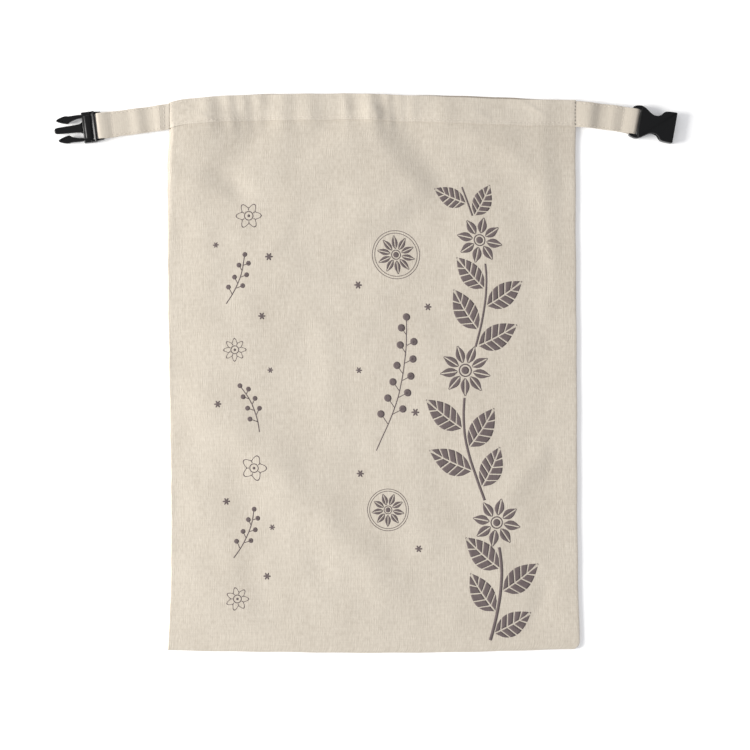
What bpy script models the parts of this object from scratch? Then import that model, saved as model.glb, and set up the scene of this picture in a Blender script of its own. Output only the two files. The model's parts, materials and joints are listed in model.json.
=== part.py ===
"""Roll-top canvas bread bag, lying flat and face up, with its strap tabs and side-release buckle.

One cut of canvas is folded at its left edge, seamed at the right and along the bottom, and its mouth is
turned over in a hem band. A strap tab is sewn to each end of the band and looped round the bar of a
buckle half. X runs across the bag, Y up towards its mouth and Z up from the surface that it lies on.
The origin is on that surface, under the middle of everything. Lengths in the tables are millimetres.
"""
import math

import bmesh
import bpy
import numpy as np
from mathutils.geometry import tessellate_polygon

MM = 0.001

# Driving dimensions of the bag, in millimetres
BAG_WIDTH = 322.0
BAG_LENGTH = 433.0
CLOTH = 1.0
LAYER_GAP = 0.4
HEM_HEIGHT = 21.6
HEM_EXTRA = 0.8
HEM_STEP = 0.3
STITCH_DROP = 19.1
GROOVE_DEPTH = 0.35
GROOVE_HALF = 0.7
SEAM_WIDTH = 8.0
SEAM_EXTRA = 0.8
EDGE_ROUND = 0.5
FOLD_WALL = 1.4
CORNER_RADIUS = 6.0
SETTLE = 12.0
EDGE_FADE = 14.0
SEAM_FADE = 9.0
MOST_RISE = 3.2

# Driving dimensions of the strap tabs and the buckle, in millimetres
STRAP_WIDTH = 20.2
STRAP_CLOTH = 1.4
PIECE_GAP = 0.3
ROOT_CUT_SHARE = 0.3
BAR_RADIUS = 1.5
BAR_HEIGHT = 3.5
STITCH_FROM_BAR = 9.5
TAIL_FROM_BAR = 12.5
SLOT_HALF = 10.5
BODY_START = 3.5
MALE_THICK = 7.0
MALE_BODY_END = 15.4
MALE_BODY_HALF = 11.4
MALE_BODY_ROUND = 1.6
ARM_LOW = 1.0
ARM_HIGH = 6.0
PRONG_LOW = 1.8
PRONG_HIGH = 5.6
FORK_ROOT = 14.0
GUIDE_HALF = 3.0
GUIDE_TIP_RADIUS = 2.5
GUIDE_TIP = 36.3
GUIDE_LOW = 2.1
GUIDE_HIGH = 5.3
FEMALE_THICK = 7.4
FEMALE_MOUTH = 32.6
SLOT_ROUND = 0.5
SOCKET_HALF = 10.7
SOCKET_LOW = 1.5
SOCKET_HIGH = 5.9
SOCKET_START = 13.2
SOCKET_ROUND = 1.0
CUT_PAST = 4.0
BROKEN_EDGE = 0.35
CORNER_ANGLE = math.radians(50)

# Outline of the bag: where each side runs, by the share of the way along it
LEFT_SIDE = (
    # down, x
    (0.000, -156.2),
    (0.045, -155.9),
    (0.062, -155.4),
    (0.090, -156.8),
    (0.220, -156.9),
    (0.340, -156.8),
    (0.470, -156.0),
    (0.600, -155.0),
    (0.790, -154.3),
    (0.920, -155.2),
    (1.000, -157.2),
)
RIGHT_SIDE = (
    # down, x
    (0.000, 165.7),
    (0.060, 165.5),
    (0.510, 166.4),
    (0.910, 167.8),
    (1.000, 168.9),
)
MOUTH_EDGE = (
    # across, y, how far the back layer shows past the front one
    (0.000, 213.6, 0.0),
    (0.030, 215.9, 0.0),
    (0.080, 217.6, 0.0),
    (0.150, 219.2, 0.1),
    (0.240, 220.1, 0.8),
    (0.340, 220.5, 0.4),
    (0.480, 220.6, 0.0),
    (0.540, 220.0, 0.1),
    (0.660, 219.2, 0.7),
    (0.760, 218.2, 1.2),
    (0.860, 217.0, 1.0),
    (0.930, 216.6, 0.3),
    (1.000, 215.9, 0.0),
)
BOTTOM_EDGE = (
    # across, y
    (0.000, -219.0),
    (0.150, -219.9),
    (0.290, -220.4),
    (0.440, -221.0),
    (0.540, -221.0),
    (0.780, -220.0),
    (0.880, -219.1),
    (1.000, -218.0),
)

# Gathers that the hem band is drawn into: soft upright ridges
GATHERS = (
    # x, half width, height, lean to the right by each mm down
    (-126.0, 9.0, 1.5, 0.10),
    (-103.0, 6.0, 1.7, 0.10),
    (-84.5, 4.5, 1.3, 0.05),
    (-65.0, 6.5, 1.8, -0.10),
    (-44.5, 6.0, 1.6, 0.00),
    (-21.5, 5.0, 1.3, 0.05),
    (1.5, 8.0, 2.7, 0.20),
    (17.0, 4.0, 1.4, 0.25),
    (28.5, 5.0, 1.3, 0.15),
    (52.0, 10.0, 0.7, 0.20),
    (112.0, 20.0, 0.4, 0.00),
)

# Main folds of the front: soft ridges along bowed lines
FOLDS = (
    # x0, y0, x1, y1, bow to the left of the run, half width, height
    (50.4, 198.5, 150.7, 10.5, 47.0, 14.0, 2.1),
    (1.4, 205.0, 70.1, 97.4, -14.0, 16.0, 1.9),
    (-127.4, 205.0, -123.4, 150.6, 0.0, 13.0, 1.6),
    (-70.5, 200.0, -98.9, 140.8, -3.0, 8.0, 1.2),
    (-127.4, -25.1, 22.7, -185.5, 2.0, 19.0, 2.0),
    (-150.0, -5.3, -82.4, -8.5, 0.0, 4.5, 0.5),
    (143.6, -60.6, 105.7, -104.1, 0.0, 10.0, 0.9),
    (-139.2, -147.5, -127.4, -205.7, 0.0, 13.0, 1.0),
    (143.6, -165.0, 146.8, -207.0, 0.0, 6.0, 0.8),
)

# Waves of the strap tabs: the height of the upper cloth's top face, from the bag to the stitch row
LEFT_WAVES = (
    # from the bag, top
    (0.0, 3.3),
    (5.0, 4.4),
    (13.0, 2.3),
    (20.0, 2.7),
    (25.5, 4.9),
    (31.0, 3.3),
    (37.0, 3.0),
    (43.0, 3.6),
)
RIGHT_WAVES = (
    # from the bag, top
    (0.0, 3.3),
    (6.0, 5.0),
    (11.5, 4.4),
    (17.0, 2.2),
    (25.0, 2.8),
    (31.0, 3.6),
    (36.0, 3.6),
)

# Where each strap starts and each bar's middle lies, and how the buckle halves are turned in degrees
LEFT_ROOT = (-156.3, 202.6)
LEFT_BAR = (-209.9, 195.2)
MALE_TURN = 187.0
RIGHT_ROOT = (165.8, 204.7)
RIGHT_BAR = (211.7, 198.7)
FEMALE_TURN = -10.0

# Outlines of the male half's arm and prong, and of one long side of the female half
ARM = (
    # along, from the middle
    (-2.8, 10.9),
    (-2.2, 11.9),
    (4.6, 12.3),
    (7.0, 11.0),
    (7.0, 10.1),
    (-1.6, 10.5),
)
PRONG = (
    # along, from the middle
    (14.0, 7.7),
    (18.4, 7.7),
    (20.2, 6.9),
    (22.8, 6.2),
    (25.2, 4.6),
    (29.5, 5.4),
    (33.6, 7.1),
    (34.2, 8.1),
    (33.0, 9.0),
    (28.6, 10.6),
    (25.6, 10.9),
    (24.2, 10.3),
    (14.0, 10.7),
)
FEMALE_SIDE = (
    # along, from the middle
    (-3.2, 9.9),
    (-2.6, 11.6),
    (-0.4, 12.6),
    (2.6, 12.9),
    (5.4, 12.0),
    (9.0, 9.9),
    (12.4, 8.4),
    (15.2, 7.2),
    (18.0, 7.3),
    (19.8, 9.4),
    (21.4, 11.4),
    (24.0, 12.0),
    (32.6, 12.2),
)

CANVAS_COLOUR = (0.72, 0.64, 0.53, 1.0)
BUCKLE_COLOUR = (0.010, 0.010, 0.011, 1.0)


def smooth_curve(table, at, column=1):
    """Read one column of a table at the given places along a smooth curve through its rows.

    Each stretch is a cubic whose slope at a row is that of the chord between the rows beside it."""
    knots = np.array([row[0] for row in table], float)
    values = np.array([row[column] for row in table], float)
    slopes = np.gradient(values, knots)
    at = np.clip(np.asarray(at, float), knots[0], knots[-1])
    left = np.clip(np.searchsorted(knots, at, side="right") - 1, 0, len(knots) - 2)
    span = knots[left + 1] - knots[left]
    t = (at - knots[left]) / span
    start = (1 + 2 * t) * (1 - t) ** 2 * values[left] + t * (1 - t) ** 2 * span * slopes[left]
    end = t * t * (3 - 2 * t) * values[left + 1] - t * t * (1 - t) * span * slopes[left + 1]
    return start + end


def ease(t):
    """Rise from 0 to 1 with level ends as t goes from 0 to 1."""
    t = np.clip(t, 0.0, 1.0)
    return t * t * (3 - 2 * t)


def plan_place(across, down):
    """Where a point of the bag lies in plan: across in mm from the left fold, down in mm from the mouth."""
    u = across / BAG_WIDTH
    v = np.clip(down / BAG_LENGTH, 0.0, 1.0)
    into_corner = np.clip(down - (BAG_LENGTH - CORNER_RADIUS), 0.0, CORNER_RADIUS)
    corner_pull = CORNER_RADIUS - np.sqrt(CORNER_RADIUS ** 2 - into_corner ** 2)
    left = smooth_curve(LEFT_SIDE, v)
    right = smooth_curve(RIGHT_SIDE, v) - corner_pull
    top = smooth_curve(MOUTH_EDGE, u)
    bottom = smooth_curve(BOTTOM_EDGE, u)
    return left + (right - left) * u, top + (bottom - top) * v


def fold_height(x, y):
    """Sum of the main folds: each is a bell across its bowed line, eased out at the line's ends."""
    height = np.zeros_like(x)
    for x0, y0, x1, y1, bow, half_width, rise in FOLDS:
        length = math.hypot(x1 - x0, y1 - y0)
        run = ((x1 - x0) / length, (y1 - y0) / length)
        along = ((x - x0) * run[0] + (y - y0) * run[1]) / length
        aside = (y - y0) * run[0] - (x - x0) * run[1] - bow * 4 * along * (1 - along)
        ends = ease(along / 0.3 + 0.5) * ease((1 - along) / 0.3 + 0.5)
        height += rise * ends * np.exp(-(aside / half_width) ** 2)
    return height


def gather_height(x, down):
    """Sum of the hem's gathers, which die away below the band."""
    height = np.zeros_like(x)
    below = np.clip(down - HEM_HEIGHT, 0.0, None)
    for middle, half_width, rise, lean in GATHERS:
        aside = x - middle - lean * down
        height += rise * np.exp(-(aside / half_width) ** 2)
    return height * np.exp(-below / SETTLE)


def front_rise(across, down, x, y):
    """How far the front layer stands above the back one, past the gap between them."""
    to_seam = np.minimum(BAG_WIDTH - across, BAG_LENGTH - down) - SEAM_WIDTH
    edges = ease(across / EDGE_FADE) * ease(to_seam / EDGE_FADE)
    folds = np.minimum(fold_height(x, y) + gather_height(x, down), MOST_RISE)
    below = np.clip(down - HEM_HEIGHT, 0.0, None)
    past_hem = down > HEM_HEIGHT - HEM_STEP / 2
    under_hem = HEM_EXTRA * np.exp(-below / SETTLE)
    on_seam = SEAM_EXTRA * ease(1.0 - to_seam / SEAM_FADE)
    return edges * folds + np.maximum(under_hem, on_seam) * past_hem


def bag_rows():
    """Distances below the mouth of the mesh's rows: close at the hem, the seam and the round corner."""
    stitches = [STITCH_DROP - GROOVE_HALF, STITCH_DROP, STITCH_DROP + GROOVE_HALF]
    hem = [0.0, 2.0, 8.0, 14.0] + stitches + [HEM_HEIGHT - HEM_STEP]
    below = [HEM_HEIGHT, 26.0, 32.0, 40.0, 50.0]
    seam_line = BAG_LENGTH - SEAM_WIDTH
    field = list(np.linspace(62.0, seam_line - 1.0, 28))
    corner = BAG_LENGTH - CORNER_RADIUS
    turned = [corner + CORNER_RADIUS * math.sin(math.radians(a)) for a in (0, 30, 52)]
    rows = hem + below + field + [seam_line] + turned + [BAG_LENGTH - EDGE_ROUND]
    return np.array(rows), len(hem), len(hem) + len(below) + len(field)


def bag_columns():
    """Distances from the left fold of the mesh's columns: close where the hem is gathered."""
    seam_line = BAG_WIDTH - SEAM_WIDTH
    gathered = list(np.linspace(8.0, 204.0, 32))
    smooth = list(np.linspace(216.0, seam_line - 1.0, 9))
    columns = [EDGE_ROUND, FOLD_WALL] + gathered + smooth + [seam_line, BAG_WIDTH - EDGE_ROUND]
    return np.array(columns), 1, len(columns) - 2


def canvas_material(name):
    """Natural cotton canvas."""
    material = bpy.data.materials.new(name)
    material.use_nodes = True
    shader = material.node_tree.nodes["Principled BSDF"]
    shader.inputs["Base Color"].default_value = CANVAS_COLOUR
    shader.inputs["Roughness"].default_value = 0.9
    shader.inputs["Metallic"].default_value = 0.0
    return material


def plastic_material(name):
    """Black moulded plastic."""
    material = bpy.data.materials.new(name)
    material.use_nodes = True
    shader = material.node_tree.nodes["Principled BSDF"]
    shader.inputs["Base Color"].default_value = BUCKLE_COLOUR
    shader.inputs["Roughness"].default_value = 0.38
    shader.inputs["Metallic"].default_value = 0.0
    return material


def add_object(name, mesh_maker, material):
    """Link a new object whose mesh is made from the given bmesh, with its faces pointing out."""
    bmesh.ops.recalc_face_normals(mesh_maker, faces=mesh_maker.faces)
    mesh = bpy.data.meshes.new(name)
    mesh_maker.to_mesh(mesh)
    mesh_maker.free()
    mesh.materials.append(material)
    thing = bpy.data.objects.new(name, mesh)
    bpy.context.scene.collection.objects.link(thing)
    return thing


def shade_soft(thing, angle):
    """Shade an object smooth, with edges sharper than the angle left crisp."""
    thing.data.shade_smooth()
    thing.data.set_sharp_from_angle(angle=math.radians(angle))


def bag_body():
    """The bag's cloth: front over back, one at the left fold, the right seam and the bottom seam.

    The front's two faces are grids on the same folds, a cloth apart. The back lies flat. The space
    between them is open at the mouth."""
    rows, hem_rows, last_open_row = bag_rows()
    columns, first_open, last_open = bag_columns()
    down, across = np.meshgrid(rows, columns, indexing="ij")
    x, y = plan_place(across, down)
    rise = front_rise(across, down, x, y)
    in_hem = down < HEM_HEIGHT - HEM_STEP / 2
    floor = CLOTH + HEM_EXTRA * in_hem
    roof = floor + LAYER_GAP + rise
    groove = GROOVE_DEPTH * np.isclose(down, STITCH_DROP)
    top = roof + CLOTH + HEM_EXTRA * in_hem - groove
    last_row = len(rows) - 1
    last_column = len(columns) - 1

    maker = bmesh.new()

    def point(px, py, pz):
        return maker.verts.new((px * MM, py * MM, pz * MM))

    def sheet(heights, row_range, column_range):
        return {(i, j): point(x[i, j], y[i, j], heights[i, j]) for i in row_range for j in column_range}

    def skin(made, row_range, column_range):
        for i in row_range[:-1]:
            for j in column_range[:-1]:
                maker.faces.new((made[i, j], made[i, j + 1], made[i + 1, j + 1], made[i + 1, j]))

    all_rows = range(last_row + 1)
    all_columns = range(last_column + 1)
    open_rows = range(last_open_row + 1)
    open_columns = range(first_open, last_open + 1)
    hem_range = range(hem_rows + 1)
    peek = smooth_curve(MOUTH_EDGE, columns / BAG_WIDTH, column=2)

    outer = sheet(top, all_rows, all_columns)
    skin(outer, all_rows, all_columns)
    inner = sheet(roof, open_rows, open_columns)
    skin(inner, open_rows, open_columns)

    # The back's inner face: a band under the hem, then a fan round one middle point
    back = {}
    for i in open_rows:
        for j in open_columns:
            on_edge = j in (first_open, last_open) or i == last_open_row
            if i <= hem_rows or on_edge:
                lift = peek[j] if i == 0 else 0.0
                back[i, j] = point(x[i, j], y[i, j] + lift, floor[i, j])
    skin(back, hem_range, open_columns)
    ring = [(hem_rows, j) for j in open_columns]
    ring += [(i, last_open) for i in open_rows if i > hem_rows]
    ring += [(last_open_row, j) for j in reversed(open_columns) if j < last_open]
    ring += [(i, first_open) for i in reversed(open_rows) if hem_rows < i < last_open_row]
    middle = point(0.0, 0.0, CLOTH)
    for here, there in zip(ring, ring[1:] + ring[:1]):
        maker.faces.new((back[here], back[there], middle))

    # The underside, flat on the surface: a fan round one middle point
    outline = [(i, 0) for i in all_rows]
    outline += [(last_row, j) for j in all_columns if j > 0]
    outline += [(i, last_column) for i in reversed(all_rows) if i < last_row]
    mouth = [(0, j) for j in reversed(all_columns) if 0 < j < last_column]
    under = {}
    for i, j in outline + mouth:
        lift = peek[j] if i == 0 else 0.0
        under[i, j] = point(x[i, j], y[i, j] + lift, 0.0)
    under_middle = point(0.0, 0.0, 0.0)
    whole = outline + mouth
    for here, there in zip(whole, whole[1:] + whole[:1]):
        maker.faces.new((under[here], under[there], under_middle))

    # The rounded rim along the fold and the seams, whose widest line lies half way up
    def rim_point(i, j):
        edge_across = {0: 0.0, last_column: BAG_WIDTH}.get(j, columns[j])
        edge_x, edge_y = plan_place(np.array(edge_across), np.array(rows[i]))
        return point(float(edge_x), float(edge_y), top[i, j] / 2)

    def bottom_point(across_here, j):
        edge_x, edge_y = plan_place(np.array(across_here), np.array(BAG_LENGTH))
        return point(float(edge_x), float(edge_y), top[last_row, j] / 2)

    left_rim = {i: rim_point(i, 0) for i in all_rows}
    right_rim = {i: rim_point(i, last_column) for i in all_rows}
    bottom_rim = {j: bottom_point(columns[j], j) for j in all_columns}
    left_corner = bottom_point(0.0, 0)
    right_corner = bottom_point(BAG_WIDTH, last_column)
    for i in range(last_row):
        for rim, j in ((left_rim, 0), (right_rim, last_column)):
            maker.faces.new((outer[i, j], outer[i + 1, j], rim[i + 1], rim[i]))
            maker.faces.new((rim[i], rim[i + 1], under[i + 1, j], under[i, j]))
    for j in range(last_column):
        here = (last_row, j)
        there = (last_row, j + 1)
        maker.faces.new((outer[here], outer[there], bottom_rim[j + 1], bottom_rim[j]))
        maker.faces.new((bottom_rim[j], bottom_rim[j + 1], under[there], under[here]))
    for corner, rim, j in ((left_corner, left_rim, 0), (right_corner, right_rim, last_column)):
        maker.faces.new((outer[last_row, j], rim[last_row], corner, bottom_rim[j]))
        maker.faces.new((under[last_row, j], bottom_rim[j], corner, rim[last_row]))

    # The mouth's raw faces: front edge, back edge, and the closed ends at the fold and the seam
    for j in open_columns[:-1]:
        maker.faces.new((outer[0, j], inner[0, j], inner[0, j + 1], outer[0, j + 1]))
        maker.faces.new((back[0, j], under[0, j], under[0, j + 1], back[0, j + 1]))
    for i in open_rows[:-1]:
        for j in (first_open, last_open):
            maker.faces.new((inner[i, j], inner[i + 1, j], back[i + 1, j], back[i, j]))
    for j in open_columns[:-1]:
        here = (last_open_row, j)
        there = (last_open_row, j + 1)
        maker.faces.new((inner[here], inner[there], back[there], back[here]))
    fold_end = [outer[0, 0], outer[0, 1], inner[0, 1], back[0, 1], under[0, 1], under[0, 0], left_rim[0]]
    maker.faces.new(fold_end)
    before = last_column - 1
    seam_end = [outer[0, before], outer[0, last_column], right_rim[0], under[0, last_column]]
    seam_end += [under[0, before], back[0, before], inner[0, before]]
    maker.faces.new(seam_end)
    thing = add_object("bag_body", maker, canvas_material("canvas"))
    shade_soft(thing, 40)
    return thing


def prism(loops, place):
    """A closed solid from a flat outline with holes, given at both ends of its sweep.

    place(a, b, end) gives the world point of the outline's point (a, b) at end 0 or end 1."""
    maker = bmesh.new()
    flat = [[(a, b, 0.0) for a, b in loop] for loop in loops]
    triangles = tessellate_polygon(flat)
    points = [point for loop in loops for point in loop]
    ends = [[maker.verts.new(place(a, b, end)) for a, b in points] for end in (0, 1)]
    for first, second, third in triangles:
        for side in ends:
            maker.faces.new((side[first], side[second], side[third]))
    start = 0
    for loop in loops:
        count = len(loop)
        for k in range(count):
            here = start + k
            there = start + (k + 1) % count
            maker.faces.new((ends[0][here], ends[0][there], ends[1][there], ends[1][here]))
        start += count
    return maker


def plate(name, loops, low, high, material):
    """A flat plate of the given outline and holes in millimetres, between two heights."""
    def place(a, b, end):
        return (a * MM, b * MM, (high if end else low) * MM)
    return add_object(name, prism(loops, place), material)


def arc(middle, radius, start, end, steps):
    """Points round a middle, from one angle to another in degrees."""
    angles = np.radians(np.linspace(start, end, steps + 1))
    return [(middle[0] + radius * math.cos(a), middle[1] + radius * math.sin(a)) for a in angles]


def round_box(x0, y0, x1, y1, radius, steps=3):
    """Outline of a rectangle with round corners."""
    points = arc((x1 - radius, y0 + radius), radius, -90, 0, steps)
    points += arc((x1 - radius, y1 - radius), radius, 0, 90, steps)
    points += arc((x0 + radius, y1 - radius), radius, 90, 180, steps)
    points += arc((x0 + radius, y0 + radius), radius, 180, 270, steps)
    return points


def both_sides(side):
    """Close a long side's outline with its mirror image across the middle line."""
    return list(side) + [(a, -b) for a, b in reversed(side)]


def join(base, others, operation="UNION"):
    """Combine other objects into the base, or cut them from it, and take them out of the scene."""
    for other in others:
        modifier = base.modifiers.new(operation.lower(), "BOOLEAN")
        modifier.operation = operation
        modifier.solver = "EXACT"
        modifier.object = other
        evaluated = base.evaluated_get(bpy.context.evaluated_depsgraph_get())
        mesh = bpy.data.meshes.new_from_object(evaluated)
        base.modifiers.clear()
        base.data = mesh
        bpy.data.objects.remove(other)


def strap(name, root, bar, turn_at_bar, waves):
    """A canvas tab from the hem's end to a buckle's bar, round it, and sewn back under itself.

    Its side profile, swept across its width, has the loop for the bar as a hole. In plan it follows a
    shallow arc from the root to the bar, and its sewn end is cut to lie along the bag's side."""
    run = np.array(bar) - np.array(root)
    length = float(np.hypot(*run))
    along_run = run / length
    across_run = np.array([-along_run[1], along_run[0]])
    heading = math.atan2(along_run[1], along_run[0])
    bend = (math.radians(turn_at_bar) - heading + math.pi) % (2 * math.pi) - math.pi
    square_on = round(heading / math.pi) * math.pi - heading

    stitch = length - STITCH_FROM_BAR
    tail = length - TAIL_FROM_BAR
    reach = BAR_RADIUS + PIECE_GAP + STRAP_CLOTH
    hole = BAR_RADIUS + PIECE_GAP

    def top_at(s):
        wave = smooth_curve(waves, np.minimum(s, stitch))
        part = ease((s - stitch) / (length - stitch))
        return wave + (BAR_HEIGHT + reach - wave) * part

    def low_at(s):
        wave = smooth_curve(waves, np.minimum(s, stitch)) - 2 * STRAP_CLOTH
        part = ease((s - stitch) / (length - stitch))
        return wave + (BAR_HEIGHT - reach - wave) * part

    single = np.linspace(PIECE_GAP, tail, 20)
    lower = np.linspace(tail, length, 9)
    upper = np.concatenate([single, lower[1:]])
    opening = np.linspace(stitch + 1.0, length, 6)
    tip = (length, BAR_HEIGHT)
    outer = [(s, float(top_at(s))) for s in upper]
    outer += arc(tip, reach, 90, -90, 10)[1:-1]
    outer += [(s, float(low_at(s))) for s in lower[::-1]]
    outer += [(s, float(top_at(s)) - STRAP_CLOTH) for s in single[::-1]]
    inside = [(s, float(top_at(s)) - STRAP_CLOTH) for s in opening]
    inside += arc(tip, hole, 90, -90, 8)[1:-1]
    inside += [(s, float(low_at(s)) + STRAP_CLOTH) for s in opening[1:][::-1]]

    def place(s, height, end):
        share = s / length
        bowed = -bend * length * share * (1 - share)
        side = (end - 0.5) * STRAP_WIDTH
        cut = 1 - ease(share / ROOT_CUT_SHARE)
        turn = (1 - cut) * bend * (2 * share - 1) + cut * square_on
        spot = np.array(root) + along_run * (s - side * math.sin(turn))
        spot = spot + across_run * (bowed + side * math.cos(turn))
        return (spot[0] * MM, spot[1] * MM, height * MM)

    thing = add_object(name, prism([outer, inside], place), canvas_material(name + "_canvas"))
    shade_soft(thing, 40)
    return thing


def bar_solid(name, material):
    """The round bar that a strap is looped over, across the buckle."""
    profile = arc((0.0, BAR_HEIGHT), BAR_RADIUS, 0, 360, 12)[:-1]

    def place(a, height, end):
        return (a * MM, (2 * end - 1) * (SLOT_HALF + 1.0) * MM, height * MM)
    return add_object(name, prism([profile], place), material)


def finish_buckle(thing, bar, turn):
    """Break the outer corners and set the buckle half on its bar's place.

    Inner corners stay sharp, so the face that a prong or the guide leaves is flat right up to it."""
    maker = bmesh.new()
    maker.from_mesh(thing.data)
    weight = maker.edges.layers.float.new("bevel_weight_edge")
    for edge in maker.edges:
        if edge.is_manifold and edge.is_convex and edge.calc_face_angle() > CORNER_ANGLE:
            edge[weight] = 1.0
    maker.to_mesh(thing.data)
    maker.free()
    bevel = thing.modifiers.new("broken edges", "BEVEL")
    bevel.width = BROKEN_EDGE * MM
    bevel.segments = 1
    bevel.limit_method = "WEIGHT"
    thing.location = (bar[0] * MM, bar[1] * MM, 0.0)
    thing.rotation_euler = (0.0, 0.0, math.radians(turn))


def buckle_male():
    """Bar, two side arms, body block, centre guide and two barbed prongs."""
    material = plastic_material("buckle_plastic_male")
    block = round_box(BODY_START, -MALE_BODY_HALF, MALE_BODY_END, MALE_BODY_HALF, MALE_BODY_ROUND)
    thing = plate("buckle_male", [block], 0.0, MALE_THICK, material)
    tip = arc((GUIDE_TIP - GUIDE_TIP_RADIUS, 0.0), GUIDE_TIP_RADIUS, -90, 90, 8)
    guide = [(FORK_ROOT, -GUIDE_HALF)] + tip + [(FORK_ROOT, GUIDE_HALF)]
    pieces = [bar_solid("bar", material), plate("guide", [guide], GUIDE_LOW, GUIDE_HIGH, material)]
    for side, sign in (("up", 1), ("down", -1)):
        arm = [(a, sign * b) for a, b in ARM]
        prong = [(a, sign * b) for a, b in PRONG]
        pieces.append(plate("arm_" + side, [arm], ARM_LOW, ARM_HIGH, material))
        pieces.append(plate("prong_" + side, [prong], PRONG_LOW, PRONG_HIGH, material))
    join(thing, pieces)
    finish_buckle(thing, LEFT_BAR, MALE_TURN)
    return thing


def buckle_female():
    """Bar between two arms, a waisted body with windows at its sides, and the open mouth socket."""
    material = plastic_material("buckle_plastic_female")
    thing = plate("buckle_female", [both_sides(FEMALE_SIDE)], 0.0, FEMALE_THICK, material)
    turned = arc((BODY_START - SLOT_ROUND, SLOT_HALF - SLOT_ROUND), SLOT_ROUND, 90, 0, 3)
    slot = both_sides([(-CUT_PAST, SLOT_HALF)] + turned)
    socket = round_box(SOCKET_START, -SOCKET_HALF, FEMALE_MOUTH + CUT_PAST, SOCKET_HALF, SOCKET_ROUND)
    cutters = [
        plate("strap_room", [slot], -CUT_PAST, FEMALE_THICK + CUT_PAST, material),
        plate("socket", [socket], SOCKET_LOW, SOCKET_HIGH, material),
    ]
    join(thing, cutters, "DIFFERENCE")
    join(thing, [bar_solid("bar", material)])
    finish_buckle(thing, RIGHT_BAR, FEMALE_TURN)
    return thing


for leftover in list(bpy.data.objects):
    bpy.data.objects.remove(leftover)
bag_body()
strap("strap_left", LEFT_ROOT, LEFT_BAR, MALE_TURN, LEFT_WAVES)
strap("strap_right", RIGHT_ROOT, RIGHT_BAR, FEMALE_TURN, RIGHT_WAVES)
buckle_male()
buckle_female()
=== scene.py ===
"""Looks of the roll-top canvas bread bag: its canvas, sewing, print and buckle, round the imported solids.

The bag lies flat and face up, with its mouth towards +Y. A place on the cloth is two lengths: across, from
the left fold, and down, from the mouth. The bag's sizes are in millimetres. Meshes, floor, light and camera
are set in metres.
"""
import json
import math

import bmesh
import bpy
import numpy as np
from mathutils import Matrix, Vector

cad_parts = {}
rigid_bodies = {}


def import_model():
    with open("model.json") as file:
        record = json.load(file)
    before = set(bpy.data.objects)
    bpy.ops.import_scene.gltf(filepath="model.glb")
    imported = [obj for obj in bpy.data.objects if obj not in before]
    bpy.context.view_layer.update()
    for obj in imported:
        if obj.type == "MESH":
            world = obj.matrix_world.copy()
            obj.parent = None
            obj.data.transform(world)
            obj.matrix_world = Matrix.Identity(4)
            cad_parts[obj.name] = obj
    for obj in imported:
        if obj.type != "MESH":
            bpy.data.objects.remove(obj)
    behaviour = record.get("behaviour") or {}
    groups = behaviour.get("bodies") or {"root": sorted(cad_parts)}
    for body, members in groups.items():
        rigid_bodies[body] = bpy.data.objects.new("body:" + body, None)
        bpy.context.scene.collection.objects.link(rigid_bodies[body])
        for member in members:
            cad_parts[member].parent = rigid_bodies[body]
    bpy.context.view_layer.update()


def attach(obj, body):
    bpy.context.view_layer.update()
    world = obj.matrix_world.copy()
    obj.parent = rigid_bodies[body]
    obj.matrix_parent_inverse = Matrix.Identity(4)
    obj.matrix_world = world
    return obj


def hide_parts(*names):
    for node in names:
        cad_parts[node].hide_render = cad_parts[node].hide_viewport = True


for leftover in list(bpy.data.objects):
    bpy.data.objects.remove(leftover)

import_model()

# Bag cloth
# One cut of unbleached cotton canvas, folded at the left, seamed at the right and along the bottom with the
# allowances inside, and turned over at the mouth in one hem band. It lies on the folds of its solid.
MM = 0.001
BAG_WIDTH = 322.0
BAG_LENGTH = 433.0
SOLID_CLOTH = 1.0
LAYER_GAP = 0.4
SHOWN_CLOTH = 0.7
CORNER_RADIUS = 6.0
EDGE_ROUND = 0.85
FOLD_WALL = 1.4
FOLD_FADE = 3.5
EDGE_FADE = 20.0
MOST_RISE = 3.8

HEM_HEIGHT = 20.6
HEM_EXTRA = 0.8
HEM_LIP = 0.35
UNDER_HEM = 0.8
UNDER_HEM_SETTLE = 12.0
# Painted shade below the hem band, fading downwards
PAINTED_SHADE_UNDER_HEM = 0.19
UNDER_HEM_FADE = 42.0
# Painted shade on the back layer, which shows where its lip stands out past the front's
PAINTED_LIP_SHADE = 0.9
LIP_REACH = 2.0
STITCH_DROP = 18.1
STITCH_GROOVE = 0.22
GROOVE_HALF = 0.55

SEAM_WIDTH = 8.0
SEAM_EXTRA = 0.3
SEAM_FADE = 18.0

AIR_LIFT = 0.9
AIR_FADE = 34.0
AIR_AT_MOUTH = 10.0
SEAM_AIR_FADE = 72.0

LEFT_SIDE = (
    # down, x
    (0.000, -156.2), (0.045, -155.9), (0.062, -155.4), (0.090, -156.8), (0.220, -156.9), (0.340, -156.8),
    (0.470, -156.0), (0.600, -155.0), (0.790, -154.3), (0.920, -155.2), (1.000, -157.2),
)
RIGHT_SIDE = (
    # down, x
    (0.000, 165.7), (0.060, 165.5), (0.510, 166.4), (0.910, 167.8), (1.000, 168.9),
)
MOUTH_EDGE = (
    # across, y, how far the back layer shows past the front one
    (0.000, 213.6, 0.0), (0.030, 215.9, 0.0), (0.080, 217.6, 0.0), (0.150, 219.2, 0.1), (0.240, 220.1, 0.8),
    (0.340, 220.5, 0.4), (0.480, 220.6, 0.0), (0.540, 219.9, 0.1), (0.660, 218.6, 1.2), (0.760, 217.3, 1.6),
    (0.860, 216.2, 1.4), (0.930, 215.9, 0.5), (1.000, 215.9, 0.0),
)
BOTTOM_EDGE = (
    # across, y
    (0.000, -219.0), (0.150, -219.9), (0.290, -220.4), (0.440, -221.0), (0.540, -221.0), (0.780, -220.0),
    (0.880, -219.1), (1.000, -218.0),
)
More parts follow.
